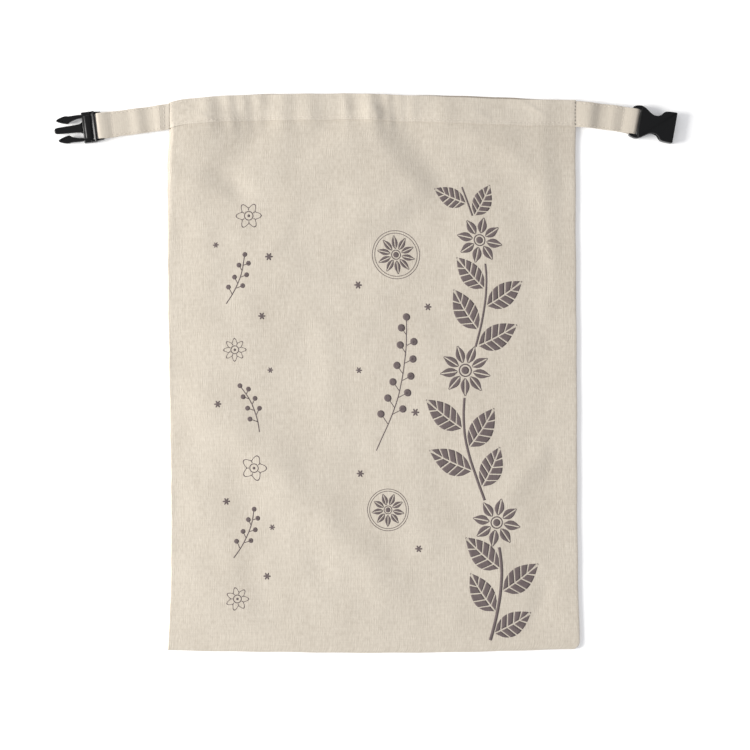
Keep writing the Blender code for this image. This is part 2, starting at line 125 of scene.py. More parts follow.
GATHERS = (
    # x, half width, height, lean to the right by each mm down
    (-126.0, 7.0, 0.95, 0.12),
    (-109.5, 4.8, 0.85, 0.18),
    (-97.5, 4.8, 0.80, 0.14),
    (-84.5, 5.0, 0.75, 0.00),
    (-65.5, 7.5, 0.95, 0.00),
    (-45.5, 8.5, 1.10, 0.00),
    (-16.5, 4.2, 0.70, 0.05),
    (2.0, 7.6, 2.50, 0.22),
    (16.5, 3.4, 0.60, 0.10),
    (26.0, 3.4, 0.40, 0.10),
    (36.5, 4.6, 0.55, 0.00),
    (62.0, 9.5, 0.80, 0.00),
    (84.0, 13.0, 0.45, 0.10),
    (140.0, 9.0, 0.25, 0.00),
)
FOLDS = (
    # x0, y0, x1, y1, bow to the left of the run, half widths to its left and right, height
    (50.4, 198.5, 151.0, 72.0, 40.0, 30.0, 14.0, 1.5),
    (-6.0, 203.0, 42.0, 138.0, -2.5, 15.0, 62.0, 2.3),
    (27.0, 200.0, 66.0, 148.0, -2.5, 13.0, 13.0, -1.1),
    (-153.0, 212.0, -149.0, 148.0, 0.0, 42.0, 12.0, 1.3),
    (-79.5, 204.0, -108.0, 144.0, -3.0, 14.0, 26.0, -2.3),
    (-127.0, 203.0, -112.0, 144.0, 0.0, 28.0, 50.0, 1.5),
    (-120.0, 150.0, -124.0, 66.0, 0.0, 17.0, 28.0, 0.55),
    (-68.0, 198.0, -98.0, 148.0, -3.0, 32.0, 11.0, 0.5),
    (-127.4, -25.1, 32.0, -182.0, 2.0, 19.0, 19.0, 2.0),
    (-150.0, -5.3, -82.4, -8.5, 0.0, 4.5, 4.5, 0.5),
    (143.6, -60.6, 105.7, -104.1, 0.0, 10.0, 10.0, 0.9),
    (-139.2, -147.5, -127.4, -205.7, 0.0, 13.0, 13.0, 0.3),
    (143.6, -165.0, 128.0, -207.0, 0.0, 7.0, 7.0, -0.6),
)
CREASES = (
    # as above
    (-150.0, 208.0, -118.0, 198.5, 1.5, 1.3, 1.3, 0.32),
    (-151.0, 204.5, -124.0, 200.0, 0.5, 1.1, 1.1, 0.28),
    (-150.0, 197.0, -128.0, 206.0, 1.0, 1.2, 1.2, 0.26),
    (-146.0, 213.0, -128.0, 204.0, 0.0, 1.2, 1.2, 0.18),
    (-152.0, -4.6, -100.0, -6.8, 0.0, 1.1, 1.1, 0.22),
    (-60.0, 120.0, -84.0, 88.0, 3.0, 7.0, 7.0, 0.30),
    (20.0, 60.0, 62.0, -20.0, 8.0, 11.0, 11.0, 0.35),
    (-30.0, 30.0, -12.0, -60.0, -6.0, 12.0, 12.0, 0.30),
    (60.0, -120.0, 120.0, -170.0, 5.0, 9.0, 9.0, 0.35),
    (-100.0, 60.0, -70.0, 10.0, 4.0, 9.0, 9.0, 0.25),
    (112.0, 213.0, 140.0, 204.0, 2.0, 1.8, 1.8, 0.35),
    (118.0, 216.0, 134.0, 208.0, 1.0, 1.6, 1.6, 0.30),
    (84.0, 206.0, 98.0, 199.0, 1.0, 2.2, 2.2, 0.25),
)
GATHER_SETTLE = 7.0
GATHER_UNEVEN = 0.25
GATHER_KNOT = 3.6
WAVE_SEED = 11
WAVE_COUNT = 40
WAVE_LENGTHS = (22.0, 110.0)
WAVE_HEIGHT = 0.0020
WAVE_POWER = 0.8
PUCKER_PITCH = 3.3
PUCKER_DRIFT = 0.8
PUCKER_HEIGHT = 0.07
PUCKER_REACH = 5.0
BELOW_STITCHES = 1.5

CANVAS_DARK = (0.432, 0.382, 0.314, 1.0)
CANVAS_LIGHT = (0.640, 0.585, 0.502, 1.0)
YARN_PITCH = 0.62
RIB_PITCH = 1.68
YARN_SHARE = 0.50
PICK_SHARE = 0.35
PATCH_SHARE = 0.40
RIB_SHARE = 0.9
RIB_LIMIT = 0.48
SPECK_LIMIT = 0.70
SPECK_DEPTH = 0.22
WEAVE_RELIEF = (0.28, 0.22)
CANVAS_FINISH = {
    "Roughness": 0.92,
    "Specular IOR Level": 0.2,
    "Sheen Weight": 0.12,
    "Sheen Roughness": 0.6,
}


def smooth_curve(table, at, column=1):
    """Read one column of a table at the given places along a smooth curve through its rows.

    Each stretch is a cubic whose slope at a row is that of the chord between the rows beside it."""
    knots = np.array([row[0] for row in table], float)
    values = np.array([row[column] for row in table], float)
    slopes = np.gradient(values, knots)
    at = np.clip(np.asarray(at, float), knots[0], knots[-1])
    left = np.clip(np.searchsorted(knots, at, side="right") - 1, 0, len(knots) - 2)
    span = knots[left + 1] - knots[left]
    t = (at - knots[left]) / span
    start = (1 + 2 * t) * (1 - t) ** 2 * values[left] + t * (1 - t) ** 2 * span * slopes[left]
    end = t * t * (3 - 2 * t) * values[left + 1] - t * t * (1 - t) * span * slopes[left + 1]
    return start + end


def ease(t):
    """Rise from 0 to 1 with level ends as t goes from 0 to 1."""
    t = np.clip(t, 0.0, 1.0)
    return t * t * (3 - 2 * t)


def plan_place(across, down):
    """Where a place on the cloth lies in plan: between the left and right sides, mouth and bottom edge.

    Each edge wanders by sines of 0.1 to 0.2 mm, and the right side draws in round the bottom corner."""
    u = across / BAG_WIDTH
    v = np.clip(down / BAG_LENGTH, 0.0, 1.0)
    into_corner = np.clip(down - (BAG_LENGTH - CORNER_RADIUS), 0.0, CORNER_RADIUS)
    corner_pull = CORNER_RADIUS - np.sqrt(CORNER_RADIUS ** 2 - into_corner ** 2)
    left = smooth_curve(LEFT_SIDE, v) + 0.16 * np.sin(down / 7.3) + 0.12 * np.sin(down / 3.1 + 1.0)
    right = smooth_curve(RIGHT_SIDE, v) - corner_pull + 0.18 * np.sin(down / 9.1) * ease(down / 40)
    top = smooth_curve(MOUTH_EDGE, u) + 0.12 * np.sin(across / 5.2)
    bottom = smooth_curve(BOTTOM_EDGE, u) + 0.12 * np.sin(across / 6.7)
    return left + (right - left) * u, top + (bottom - top) * v


def fold_height(x, y, folds, end_share=0.3):
    """Sum of folds: each is a bell across its bowed line, eased out at the line's ends."""
    height = np.zeros_like(x)
    for x0, y0, x1, y1, bow, left_width, right_width, rise in folds:
        length = math.hypot(x1 - x0, y1 - y0)
        run = ((x1 - x0) / length, (y1 - y0) / length)
        along = ((x - x0) * run[0] + (y - y0) * run[1]) / length
        aside = (y - y0) * run[0] - (x - x0) * run[1] - bow * 4 * along * (1 - along)
        ends = ease(along / end_share + 0.5) * ease((1 - along) / end_share + 0.5)
        height += rise * ends * np.exp(-(aside / np.where(aside > 0, left_width, right_width)) ** 2)
    return height


def gather_height(x, down):
    """Sum of the hem's gathers, which die away below the band."""
    height = np.zeros_like(x)
    below = np.clip(down - HEM_HEIGHT, 0.0, None)
    for middle, half_width, rise, lean in GATHERS:
        aside = x - middle - lean * down
        uneven = 1 + GATHER_UNEVEN * np.sin(down / GATHER_KNOT + 2.0 * middle)
        height += rise * uneven * np.exp(-(aside / half_width) ** 2)
    return height * np.exp(-below / GATHER_SETTLE)


def wave_height(x, y):
    """Low unevenness of cloth that has been folded: plane waves of many lengths and headings."""
    chance = np.random.default_rng(WAVE_SEED)
    height = np.zeros_like(x)
    for _ in range(WAVE_COUNT):
        length = chance.uniform(*WAVE_LENGTHS)
        heading = chance.uniform(0, math.pi)
        phase = chance.uniform(0, 2 * math.pi)
        along = x * math.cos(heading) + y * math.sin(heading)
        height += WAVE_HEIGHT * length ** WAVE_POWER * np.sin(2 * math.pi * along / length + phase)
    return height


def pucker_height(across, down):
    """Ripples that the stitches draw up beside the hem's row, the right seam and the bottom seam."""
    by_hem = np.exp(-(np.abs(down - STITCH_DROP - BELOW_STITCHES) / PUCKER_REACH))
    by_side = np.exp(-(BAG_WIDTH - across) / PUCKER_REACH)
    by_bottom = np.exp(-(BAG_LENGTH - down) / PUCKER_REACH)
    upright = np.sin(2 * math.pi * (across + PUCKER_DRIFT * np.sin(across / 9.0)) / PUCKER_PITCH)
    level = np.sin(2 * math.pi * (down + PUCKER_DRIFT * np.sin(down / 11.0)) / (2 * PUCKER_PITCH))
    return PUCKER_HEIGHT * (upright * np.maximum(by_hem, by_bottom) + level * by_side)


def hem_share(down):
    """1 in the hem band and 0 below its turned edge."""
    return 1 - ease((down - HEM_HEIGHT + HEM_LIP) / HEM_LIP)


def front_height(across, down, x, y):
    """Height of the front's outer face, before its edges are rounded.

    It is the solid's two layers and the gap between them, raised by the hem or the seam, by the folds,
    which are level at the sides, and by the stitches' puckers, less the groove along their row."""
    to_seam = np.minimum(BAG_WIDTH - across, BAG_LENGTH - down) - SEAM_WIDTH
    edges = ease(across / FOLD_FADE) * ease(to_seam / EDGE_FADE)
    air_sides = ease(across / AIR_FADE) * ease(to_seam / SEAM_AIR_FADE)
    air = AIR_LIFT * air_sides * ease((down + AIR_AT_MOUTH) / AIR_FADE)
    soft = air + wave_height(x, y) + fold_height(x, y, CREASES, 0.5)
    folds = np.minimum(fold_height(x, y, FOLDS) + gather_height(x, down), MOST_RISE) + soft
    below = np.clip(down - HEM_HEIGHT, 0.0, None)
    in_hem = hem_share(down)
    under_hem = UNDER_HEM * np.exp(-below / UNDER_HEM_SETTLE)
    on_seam = SEAM_EXTRA * ease(1.0 - to_seam / SEAM_FADE)
    lift = in_hem * 2 * HEM_EXTRA + (1 - in_hem) * np.maximum(under_hem, on_seam)
    groove = STITCH_GROOVE * np.exp(-((down - STITCH_DROP) / GROOVE_HALF) ** 2)
    return 2 * SOLID_CLOTH + LAYER_GAP + lift + edges * folds + pucker_height(across, down) - groove


def round_off(distance, radius):
    """Half of a round edge: 0 at the edge, rising as a quarter circle to 1 a radius in."""
    inside = 1 - np.clip(distance / radius, 0.0, 1.0)
    return np.sqrt(1 - inside ** 2)


def front_place(across, down):
    """A place on the front's outer face, in mm: its folds, with round edges at the sides, bottom and lip."""
    across, down = np.broadcast_arrays(np.asarray(across, float), np.asarray(down, float))
    x, y = plan_place(across, down)
    height = front_height(across, down, x, y)
    to_edge = np.minimum(np.minimum(across, BAG_WIDTH - across), BAG_LENGTH - down)
    side = round_off(to_edge, EDGE_ROUND)
    lip_cloth = SHOWN_CLOTH * (1 + hem_share(down))
    z = height / 2 * (1 + side)
    z = z - lip_cloth / 2 * side * (1 - round_off(down, lip_cloth / 2))
    return np.stack([x, y, z], axis=-1)


def inner_place(across, down):
    """A place on the front's inner face, one thickness of cloth, or two in the hem, under its outer one."""
    x, y = plan_place(across, down)
    height = front_height(across, down, x, y)
    cloth = SHOWN_CLOTH * (1 + hem_share(down))
    lip = round_off(down, cloth / 2)
    return np.stack([x, y, height - cloth / 2 * (1 + lip)], axis=-1)


def back_place(across, down, outer):
    """A place on the back layer, which lies flat: its outer face on the surface, or its inner face."""
    x, y = plan_place(across, down)
    peek = smooth_curve(MOUTH_EDGE, across / BAG_WIDTH, column=2) * np.exp(-down / LIP_REACH)
    cloth = SHOWN_CLOTH * (1 + hem_share(down))
    lip = round_off(down, cloth / 2)
    to_edge = np.minimum(np.minimum(across, BAG_WIDTH - across), BAG_LENGTH - down)
    height = front_height(across, down, x, y)
    side = round_off(to_edge, EDGE_ROUND)
    low = height / 2 * (1 - side) + side * cloth / 2 * (1 - lip)
    high = cloth / 2 * (1 + lip)
    return np.stack([x, y + peek, low if outer else high], axis=-1)


def quads(index, upwards=True):
    """Faces of a grid of point numbers, wound so that they face up where rows run towards -Y."""
    corners = (index[:-1, :-1], index[1:, :-1], index[1:, 1:], index[:-1, 1:])
    if not upwards:
        corners = corners[::-1]
    return np.stack(corners, axis=-1).reshape(-1, 4).tolist()


def add_piece(name, points, faces, material, place=None, sharp=None):
    """Link a mesh of points in mm, with doubles merged.

    place gives each point's place on the cloth, in mm: across, down, and as a third length how much painted
    shade darkens the cloth there, where 1 mm stands for the full painted shade of the back layer's lip."""
    mesh = bpy.data.meshes.new(name)
    mesh.from_pydata((np.asarray(points) * MM).tolist(), [], faces)
    if place is not None:
        layer = mesh.attributes.new("place_and_painted_shade", "FLOAT_VECTOR", "POINT")
        layer.data.foreach_set("vector", (np.asarray(place) * MM).astype(np.float32).ravel())
    merger = bmesh.new()
    merger.from_mesh(mesh)
    bmesh.ops.remove_doubles(merger, verts=merger.verts, dist=1e-7)
    merger.to_mesh(mesh)
    merger.free()
    mesh.shade_smooth()
    if sharp is not None:
        mesh.set_sharp_from_angle(angle=math.radians(sharp))
    mesh.materials.append(material)
    piece = bpy.data.objects.new(name, mesh)
    bpy.context.scene.collection.objects.link(piece)
    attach(piece, "root")
    return piece


def spaced(*stretches):
    """Places along a line from stretches of (start, end, step), without the last end."""
    return np.concatenate([np.arange(start, end - step / 4, step) for start, end, step in stretches])


def painted_shade_under_hem(down):
    """Painted shade below the hem band: how much darker the cloth is painted, most just below the band and
    fading downwards.
    """
    below = np.clip(down - HEM_HEIGHT, 0.0, None)
    return PAINTED_SHADE_UNDER_HEM * (1 - hem_share(down)) * np.exp(-below / UNDER_HEM_FADE)


def bag_cloth(material):
    """The whole bag as one closed skin: outer front, outer back, and the two inner faces of its room.

    Front and back share their left, right and bottom edges. The inner faces meet the outer ones at the
    two lips of the mouth. The back and the room have fewer rows, because they lie flat. The back layer is
    painted darker in full, as painted shade, which shows where its lip stands out past the front's."""
    # Rows and columns lie closest where the cloth turns: at its rims, its lip, the groove and the hem's step
    rim = np.array([0.0, 0.04, 0.14, 0.33, 0.6, 0.85])
    middle = spaced((1.6, 40, 1.1), (40, 312, 1.55), (312, 320.2, 1.0))
    columns = np.concatenate([rim, middle, BAG_WIDTH - rim[::-1]])
    groove = STITCH_DROP + np.array([-0.9, -0.5, -0.2, 0.0, 0.2, 0.5, 0.9, 1.5])
    step = HEM_HEIGHT + np.array([-0.6, -HEM_LIP, -0.27, -0.18, -0.09, 0.0])
    lip = np.array([0.0, 0.08, 0.25, 0.5, 0.8, 1.2])
    field = spaced((20.9, 24, 0.5), (24, 60, 1.2), (60, 431, 1.9))
    rows = np.concatenate([lip, spaced((1.8, 17.0, 0.8)), groove, step, field, BAG_LENGTH - rim[4::-1]])
    down, across = np.meshgrid(rows, columns, indexing="ij")
    hem_rows, rim_rows = 36, len(rows) - 5
    few = [np.arange(0, hem_rows, 3), np.arange(hem_rows, rim_rows, 16), np.arange(rim_rows, len(rows))]
    few = np.concatenate(few)
    low_down, low_across = np.meshgrid(rows[few], columns, indexing="ij")
    first = int(np.searchsorted(columns, FOLD_WALL))
    last = int(np.searchsorted(columns, BAG_WIDTH - SEAM_WIDTH))
    deep = few[rows[few] < BAG_LENGTH - SEAM_WIDTH]
    room_down, room_across = np.meshgrid(rows[deep], columns[first:last + 1], indexing="ij")

    # Painted shade: on the front below the hem band, and on the back layer in full
    sheets = [
        (front_place(across, down), across, down, painted_shade_under_hem(down)),
        (back_place(low_across, low_down, True), low_across, low_down, 1.0),
        (inner_place(room_across, room_down), room_across, room_down, 0.0),
        (back_place(room_across, room_down, False), room_across, room_down, 1.0),
    ]
    points = np.concatenate([sheet[0].reshape(-1, 3) for sheet in sheets])
    places = [np.stack([a, d, shade + 0 * a], axis=-1).reshape(-1, 3) for _, a, d, shade in sheets]
    index = []
    start = 0
    for sheet, _, _, _ in sheets:
        index.append(start + np.arange(sheet[..., 0].size).reshape(sheet.shape[:2]))
        start += index[-1].size
    front, back, roof, ground = index

    # The inner faces share the lips' points with the outer ones, and close on each other elsewhere
    roof[0] = front[0, first:last + 1]
    ground[0] = back[0, first:last + 1]
    back[:, 0] = front[few, 0]
    back[:, -1] = front[few, -1]
    back[-1] = front[-1]
    faces = quads(front)
    faces += quads(back[:, 1:-1], upwards=False)
    faces += quads(roof, upwards=False)
    faces += quads(ground)
    for near, far in zip(range(len(few) - 1), range(1, len(few))):
        left_run = front[few[near]:few[far] + 1, 0].tolist()
        right_run = front[few[near]:few[far] + 1, -1].tolist()
        faces.append(left_run[::-1] + [back[near, 1], back[far, 1]])
        faces.append(right_run + [back[far, -2], back[near, -2]])
    for edge_roof, edge_ground in ((roof[:, 0], ground[:, 0]), (ground[:, -1], roof[:, -1])):
        faces += quads(np.stack([edge_roof, edge_ground], axis=1))
    faces += quads(np.stack([ground[-1], roof[-1]]))
    faces.append(front[0, :first + 1].tolist() + [ground[0, 0]] + back[0, 1:first][::-1].tolist())
    faces.append(front[0, last:].tolist() + back[0, last + 1:-1][::-1].tolist() + [ground[0, -1]])
    return add_piece("bag_cloth", points, faces, material, np.concatenate(places))


def node(tree, kind, **settings):
    """Add a node, with settings such as its operation."""
    made = tree.nodes.new(kind)
    for name, value in settings.items():
        setattr(made, name, value)
    return made


def feed(tree, target, **sources):
    """Link or set a node's inputs by their place: a0 is the first input, a1 the second, and so on."""
    for name, source in sources.items():
        socket = target.inputs[int(name[1:])]
        if isinstance(source, bpy.types.NodeSocket):
            tree.links.new(source, socket)
        else:
            socket.default_value = source
    return target.outputs[0]


def calculate(tree, operation, first, second=0.0, third=0.0):
    """A Math node's result."""
    return feed(tree, node(tree, "ShaderNodeMath", operation=operation), a0=first, a1=second, a2=third)


def set_inputs(target, values):
    """Set a node's inputs by their names."""
    for name, value in values.items():
        target.inputs[name].default_value = value


def new_material(name, values):
    """A material with its node tree and its shader, whose plain inputs are set."""
    material = bpy.data.materials.new(name)
    material.use_nodes = True
    shader = material.node_tree.nodes["Principled BSDF"]
    set_inputs(shader, values)
    return material, material.node_tree, shader


def blend_colours(tree, shader, share, low, high):
    """Base colour from low to high, and past them, by a share that changes over the surface."""
    colour = node(tree, "ShaderNodeMix", data_type="RGBA", clamp_factor=False)
    colour.inputs[6].default_value = low
    colour.inputs[7].default_value = high
    tree.links.new(share, colour.inputs[0])
    tree.links.new(colour.outputs[2], shader.inputs["Base Color"])


def add_relief(tree, shader, height, strength, depth_mm):
    """Fine relief of a given strength and depth, from a height that changes over the surface."""
    bump = node(tree, "ShaderNodeBump")
    set_inputs(bump, {"Strength": strength, "Distance": depth_mm * MM})
    tree.links.new(height, bump.inputs["Height"])
    tree.links.new(bump.outputs[0], shader.inputs["Normal"])


def shaded(colour, shade):
    """A colour made darker or lighter."""
    return tuple(shade * part for part in colour[:3]) + (1.0,)


def stretched_noise(tree, place, sizes_mm, detail=2.0):
    """Noise whose grains have the given sizes in mm along the cloth's across and down."""
    scaled = node(tree, "ShaderNodeVectorMath", operation="MULTIPLY")
    grains = [1 / (size * MM) for size in sizes_mm]
    feed(tree, scaled, a0=place, a1=(*grains, 1.0))
    noise = node(tree, "ShaderNodeTexNoise", noise_dimensions="3D")
    set_inputs(noise, {"Scale": 1.0, "Detail": detail})
    tree.links.new(scaled.outputs[0], noise.inputs["Vector"])
    return noise.outputs[0]


def weave_group():
    """Plain weave of uneven cotton yarns.

    In: the place on the cloth in metres, and how strongly yarns differ in tone. Out: tone, from the darkest
    to the lightest yarn, and relief, high where a yarn passes over another. Relief is the product of two
    sines a yarn apart. Tone adds streaks along the warp and weft, patches and sparse dark specks."""
    group = bpy.data.node_groups.new("plain_weave", "ShaderNodeTree")
    group.interface.new_socket("Place", in_out="INPUT", socket_type="NodeSocketVector")
    group.interface.new_socket("Contrast", in_out="INPUT", socket_type="NodeSocketFloat")
    group.interface.new_socket("Tone", in_out="OUTPUT", socket_type="NodeSocketFloat")
    group.interface.new_socket("Relief", in_out="OUTPUT", socket_type="NodeSocketFloat")
    entry = node(group, "NodeGroupInput")
    leave = node(group, "NodeGroupOutput")
    place = entry.outputs["Place"]

    turn = node(group, "ShaderNodeVectorMath", operation="SCALE")
    feed(group, turn, a0=place)
    turn.inputs["Scale"].default_value = math.pi / (YARN_PITCH * MM)
    parts = node(group, "ShaderNodeSeparateXYZ")
    feed(group, parts, a0=turn.outputs[0])
    warp = calculate(group, "SINE", parts.outputs[0])
    weft = calculate(group, "SINE", parts.outputs[1])
    crossing = calculate(group, "MULTIPLY", warp, weft)

    streaks = stretched_noise(group, place, (1.1, 4.2))
    yarns = stretched_noise(group, place, (0.9, 26.0), 1.0)
    picks = stretched_noise(group, place, (14.0, 0.9), 1.0)
    patches = stretched_noise(group, place, (34.0, 48.0))
    speckle = stretched_noise(group, place, (1.1, 1.5), 1.0)
    rib_angle = calculate(group, "MULTIPLY", parts.outputs[0], 2 * YARN_PITCH / RIB_PITCH)
    ribs = calculate(group, "SINE", rib_angle)
    rib_places = stretched_noise(group, place, (11.0, 7.0), 1.0)
    rib_share = calculate(group, "MAXIMUM", calculate(group, "SUBTRACT", rib_places, RIB_LIMIT), 0.0)
    ribs = calculate(group, "MULTIPLY", ribs, rib_share)
    mixed = streaks
    for part, share in ((yarns, YARN_SHARE), (picks, PICK_SHARE), (patches, PATCH_SHARE), (ribs, RIB_SHARE)):
        mixed = calculate(group, "MULTIPLY_ADD", part, share, mixed)
    middle = 0.5 * (1 + YARN_SHARE + PICK_SHARE + PATCH_SHARE)
    centred = calculate(group, "SUBTRACT", mixed, middle)
    specks = calculate(group, "GREATER_THAN", speckle, SPECK_LIMIT)
    specks = calculate(group, "MULTIPLY", specks, SPECK_DEPTH)
    tone = calculate(group, "MULTIPLY_ADD", centred, entry.outputs["Contrast"], 0.5)
    tone = calculate(group, "SUBTRACT", tone, specks)
    relief = calculate(group, "MULTIPLY_ADD", crossing, 0.5, streaks)
    group.links.new(tone, leave.inputs["Tone"])
    group.links.new(relief, leave.inputs["Relief"])
    return group


weave = weave_group()


def canvas(name, dark, light, contrast=1.0):
    """Canvas between a dark and a light yarn colour, on the piece's own place_and_painted_shade.

    The third length of the place paints shade on the canvas: at 1 mm, the full painted shade of the back
    layer's lip."""
    material, tree, shader = new_material(name, CANVAS_FINISH)
    place = node(tree, "ShaderNodeAttribute", attribute_name="place_and_painted_shade").outputs["Vector"]
    woven = node(tree, "ShaderNodeGroup", node_tree=weave)
    feed(tree, woven, a0=place, a1=contrast)
    parts = node(tree, "ShaderNodeSeparateXYZ")
    feed(tree, parts, a0=place)
    # The third length of the place darkens the tone as painted shade
    tone = calculate(tree, "MULTIPLY_ADD", parts.outputs[2], -PAINTED_LIP_SHADE / MM, woven.outputs["Tone"])
    blend_colours(tree, shader, tone, dark, light)
    add_relief(tree, shader, woven.outputs["Relief"], *WEAVE_RELIEF)
    return material


canvas_cloth = canvas("canvas", CANVAS_DARK, CANVAS_LIGHT)
bag = bag_cloth(canvas_cloth)
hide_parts("bag_body")

# Sewing on the bag
# Cream cotton thread. One row holds the hem band down, a short row closes its mouth edge at the left, where
# the tab goes in, and one row closes each end of the band. The one at the right is painted dark as the seam's
# shade.
STITCH_PITCH = 3.4
STITCH_LENGTH = 2.7
STITCH_WANDER = 0.07
STITCH_SLANT = 0.035
THREAD_RADIUS = 0.27
THREAD_FLATNESS = 0.8
THREAD_SINK = 0.10
THREAD_ARCH = 0.12
THREAD_COLOUR = (0.66, 0.60, 0.52, 1.0)
THREAD_HOLLOWS = 0.82
SEAM_THREAD_PAINTED_SHADE = 0.30
THREAD_GRAIN = 900.0
THREAD_RELIEF = (0.4, 0.1)
THREAD_ROUGHNESS = 0.75
BAG_SEWING = (
    # from across, from down, to across, to down
    (2.5, STITCH_DROP, 319.5, STITCH_DROP),
    (5.0, 1.9, 34.0, 2.1),
    (2.6, 2.0, 2.6, 17.0),
)
EDGE_PITCH = 2.5
EDGE_LENGTH = 1.7
EDGE_SEWING = ((321.2, 1.0, 321.2, 20.4),)


def unit(vectors):
    """Vectors in plan, each brought to length 1."""
    return vectors / np.hypot(vectors[..., 0], vectors[..., 1])[..., None]


def turned(vectors):
    """Vectors in plan, each turned to the left by a right angle."""
    return np.stack([-vectors[..., 1], vectors[..., 0]], -1)


def run_of_stitches(surface, rows, pitch, length, seed):
    """Stitches along straight rows of a surface, as slender beads with closed ends.

    surface gives points from two lengths. Along a stitch its middle line follows the surface and arches
    up by half a sine, and its radius is the fourth root of a sine. Round it, the section is a low ellipse."""
    chance = np.random.default_rng(seed)
    starts, ends = [], []
    for a0, b0, a1, b1 in rows:
        whole = math.hypot(a1 - a0, b1 - b0)
        count = max(1, int(whole / pitch))
        share = (np.arange(count) + 0.5) / count
        middle = np.array([a0, b0]) + share[:, None] * np.array([a1 - a0, b1 - b0])
        middle += chance.normal(0, STITCH_WANDER, middle.shape)
        heading = math.atan2(b1 - b0, a1 - a0) + chance.normal(0, STITCH_SLANT, count)
        half = np.stack([np.cos(heading), np.sin(heading)], -1) * length / 2
        starts.append(middle - half)
        ends.append(middle + half)
    starts, ends = np.concatenate(starts), np.concatenate(ends)
    t = np.linspace(0, 1, 9)
    round_it = np.linspace(0, 2 * math.pi, 7)
    along = starts[:, None] + (ends - starts)[:, None] * t[None, :, None]
    middle = surface(along[..., 0], along[..., 1])
    aside = turned(unit(middle[:, -1, :2] - middle[:, 0, :2]))
    radius = THREAD_RADIUS * np.sin(math.pi * t) ** 0.25
    radius[[0, -1]] = 0.0
    lift = THREAD_ARCH * np.sin(math.pi * t) - THREAD_SINK
    wide = radius[None, :, None] * np.cos(round_it)
    high = THREAD_FLATNESS * radius[None, :, None] * np.sin(round_it) + lift[None, :, None]
    points = np.empty(middle.shape[:2] + (len(round_it), 3))
    points[..., :2] = middle[:, :, None, :2] + aside[:, None, None, :] * wide[..., None]
    points[..., 2] = middle[:, :, None, 2] + high
    index = np.arange(points[..., 0].size).reshape(points.shape[:3])
    faces = []
    for stitch in index:
        faces += quads(stitch, upwards=False)
    return points.reshape(-1, 3), faces


def thread_material(name, shade=1.0):
    """Cotton thread with the fine uneven grain of its ply; a shade below 1 paints it darker, as painted
    shade.
    """
    material, tree, shader = new_material(name, {"Roughness": THREAD_ROUGHNESS})
    grain = node(tree, "ShaderNodeTexNoise")
    set_inputs(grain, {"Scale": THREAD_GRAIN})
    tree.links.new(node(tree, "ShaderNodeTexCoord").outputs["Object"], grain.inputs["Vector"])
    low, high = shaded(THREAD_COLOUR, THREAD_HOLLOWS * shade), shaded(THREAD_COLOUR, shade)
    blend_colours(tree, shader, grain.outputs[0], low, high)
    add_relief(tree, shader, grain.outputs[0], *THREAD_RELIEF)
    return material


def sew(name, surface, rows, pitch, length, seed, material):
    """One piece of stitches."""
    points, faces = run_of_stitches(surface, rows, pitch, length, seed)
    piece = add_piece(name, points, faces, material)
    return piece


thread = thread_material("thread")
bag_sewing = sew("bag_sewing", front_place, BAG_SEWING, STITCH_PITCH, STITCH_LENGTH, 3, thread)
# The thread at the right end of the band is painted dark, as painted shade of the seam
seam_shade_thread = thread_material("thread_painted_seam_shade", SEAM_THREAD_PAINTED_SHADE)
edge_sewing = sew("edge_sewing", front_place, EDGE_SEWING, EDGE_PITCH, EDGE_LENGTH, 4, seam_shade_thread)

# Print on the front
# A plain folk print in one dark taupe ink: a leafy branch with three flowers, two rosettes with a berry sprig
# between them, and a loose column of small flowers in outline, sprigs and stars. It is a thin film of ink.
INK_LIFT = 0.07
INK_FILM = 0.12
INK_CELL = 1.6
LEAST_INK = 0.02
LINE_HALF = 0.38
INK_DARK = (0.098, 0.076, 0.076, 1.0)
INK_LIGHT = (0.155, 0.124, 0.122, 1.0)
BRANCH_FOOT = (252.0, 424.0)
BRANCH_TOP = (236.0, 70.0)
BRANCH_SWAY = 12.0
LEAF_STEM = 2.0
LEAF_ANGLE = 0.9
BRANCH_LEAVES = (
    # share of the way up, side, length, width
    (0.015, 1, 33.0, 18.0),
    (0.060, -1, 36.0, 18.5),
    (0.105, 1, 35.0, 19.0),
    (0.155, -1, 36.0, 19.0),
    (0.335, 1, 34.0, 18.0),
    (0.375, -1, 37.0, 19.0),
    (0.425, 1, 36.0, 19.0),
    (0.468, -1, 36.0, 18.5),
    (0.650, 1, 35.0, 19.0),
    (0.685, -1, 36.0, 18.5),
    (0.740, 1, 34.0, 18.0),
    (0.777, -1, 32.0, 17.0),
    (0.935, 1, 27.0, 15.0),
    (0.965, -1, 27.0, 15.0),
)
FLOWERS = (
    # across, down, radius, petals, rings round it
    (258.0, 332.0, 19.0, 8, 0),
    (234.0, 213.0, 20.0, 9, 0),
    (246.0, 111.0, 18.0, 8, 0),
    (180.0, 124.0, 15.0, 10, 2),
    (172.0, 322.0, 13.0, 9, 2),
)
LINE_FLOWERS = (
    # across, down, radius, petals
    (64.0, 94.0, 10.0, 6),
    (52.0, 198.0, 9.0, 8),
    (66.0, 290.0, 10.0, 5),
    (53.0, 392.0, 9.0, 7),
)
BERRY_SPRIGS = (
    # foot across, foot down, top across, top down, berries, berry radius
    (163.0, 276.0, 188.0, 172.0, 11, 2.9),
    (46.0, 162.0, 61.0, 124.0, 6, 1.9),
    (71.0, 262.0, 56.0, 226.0, 6, 1.9),
    (50.0, 360.0, 66.0, 322.0, 6, 1.9),
)
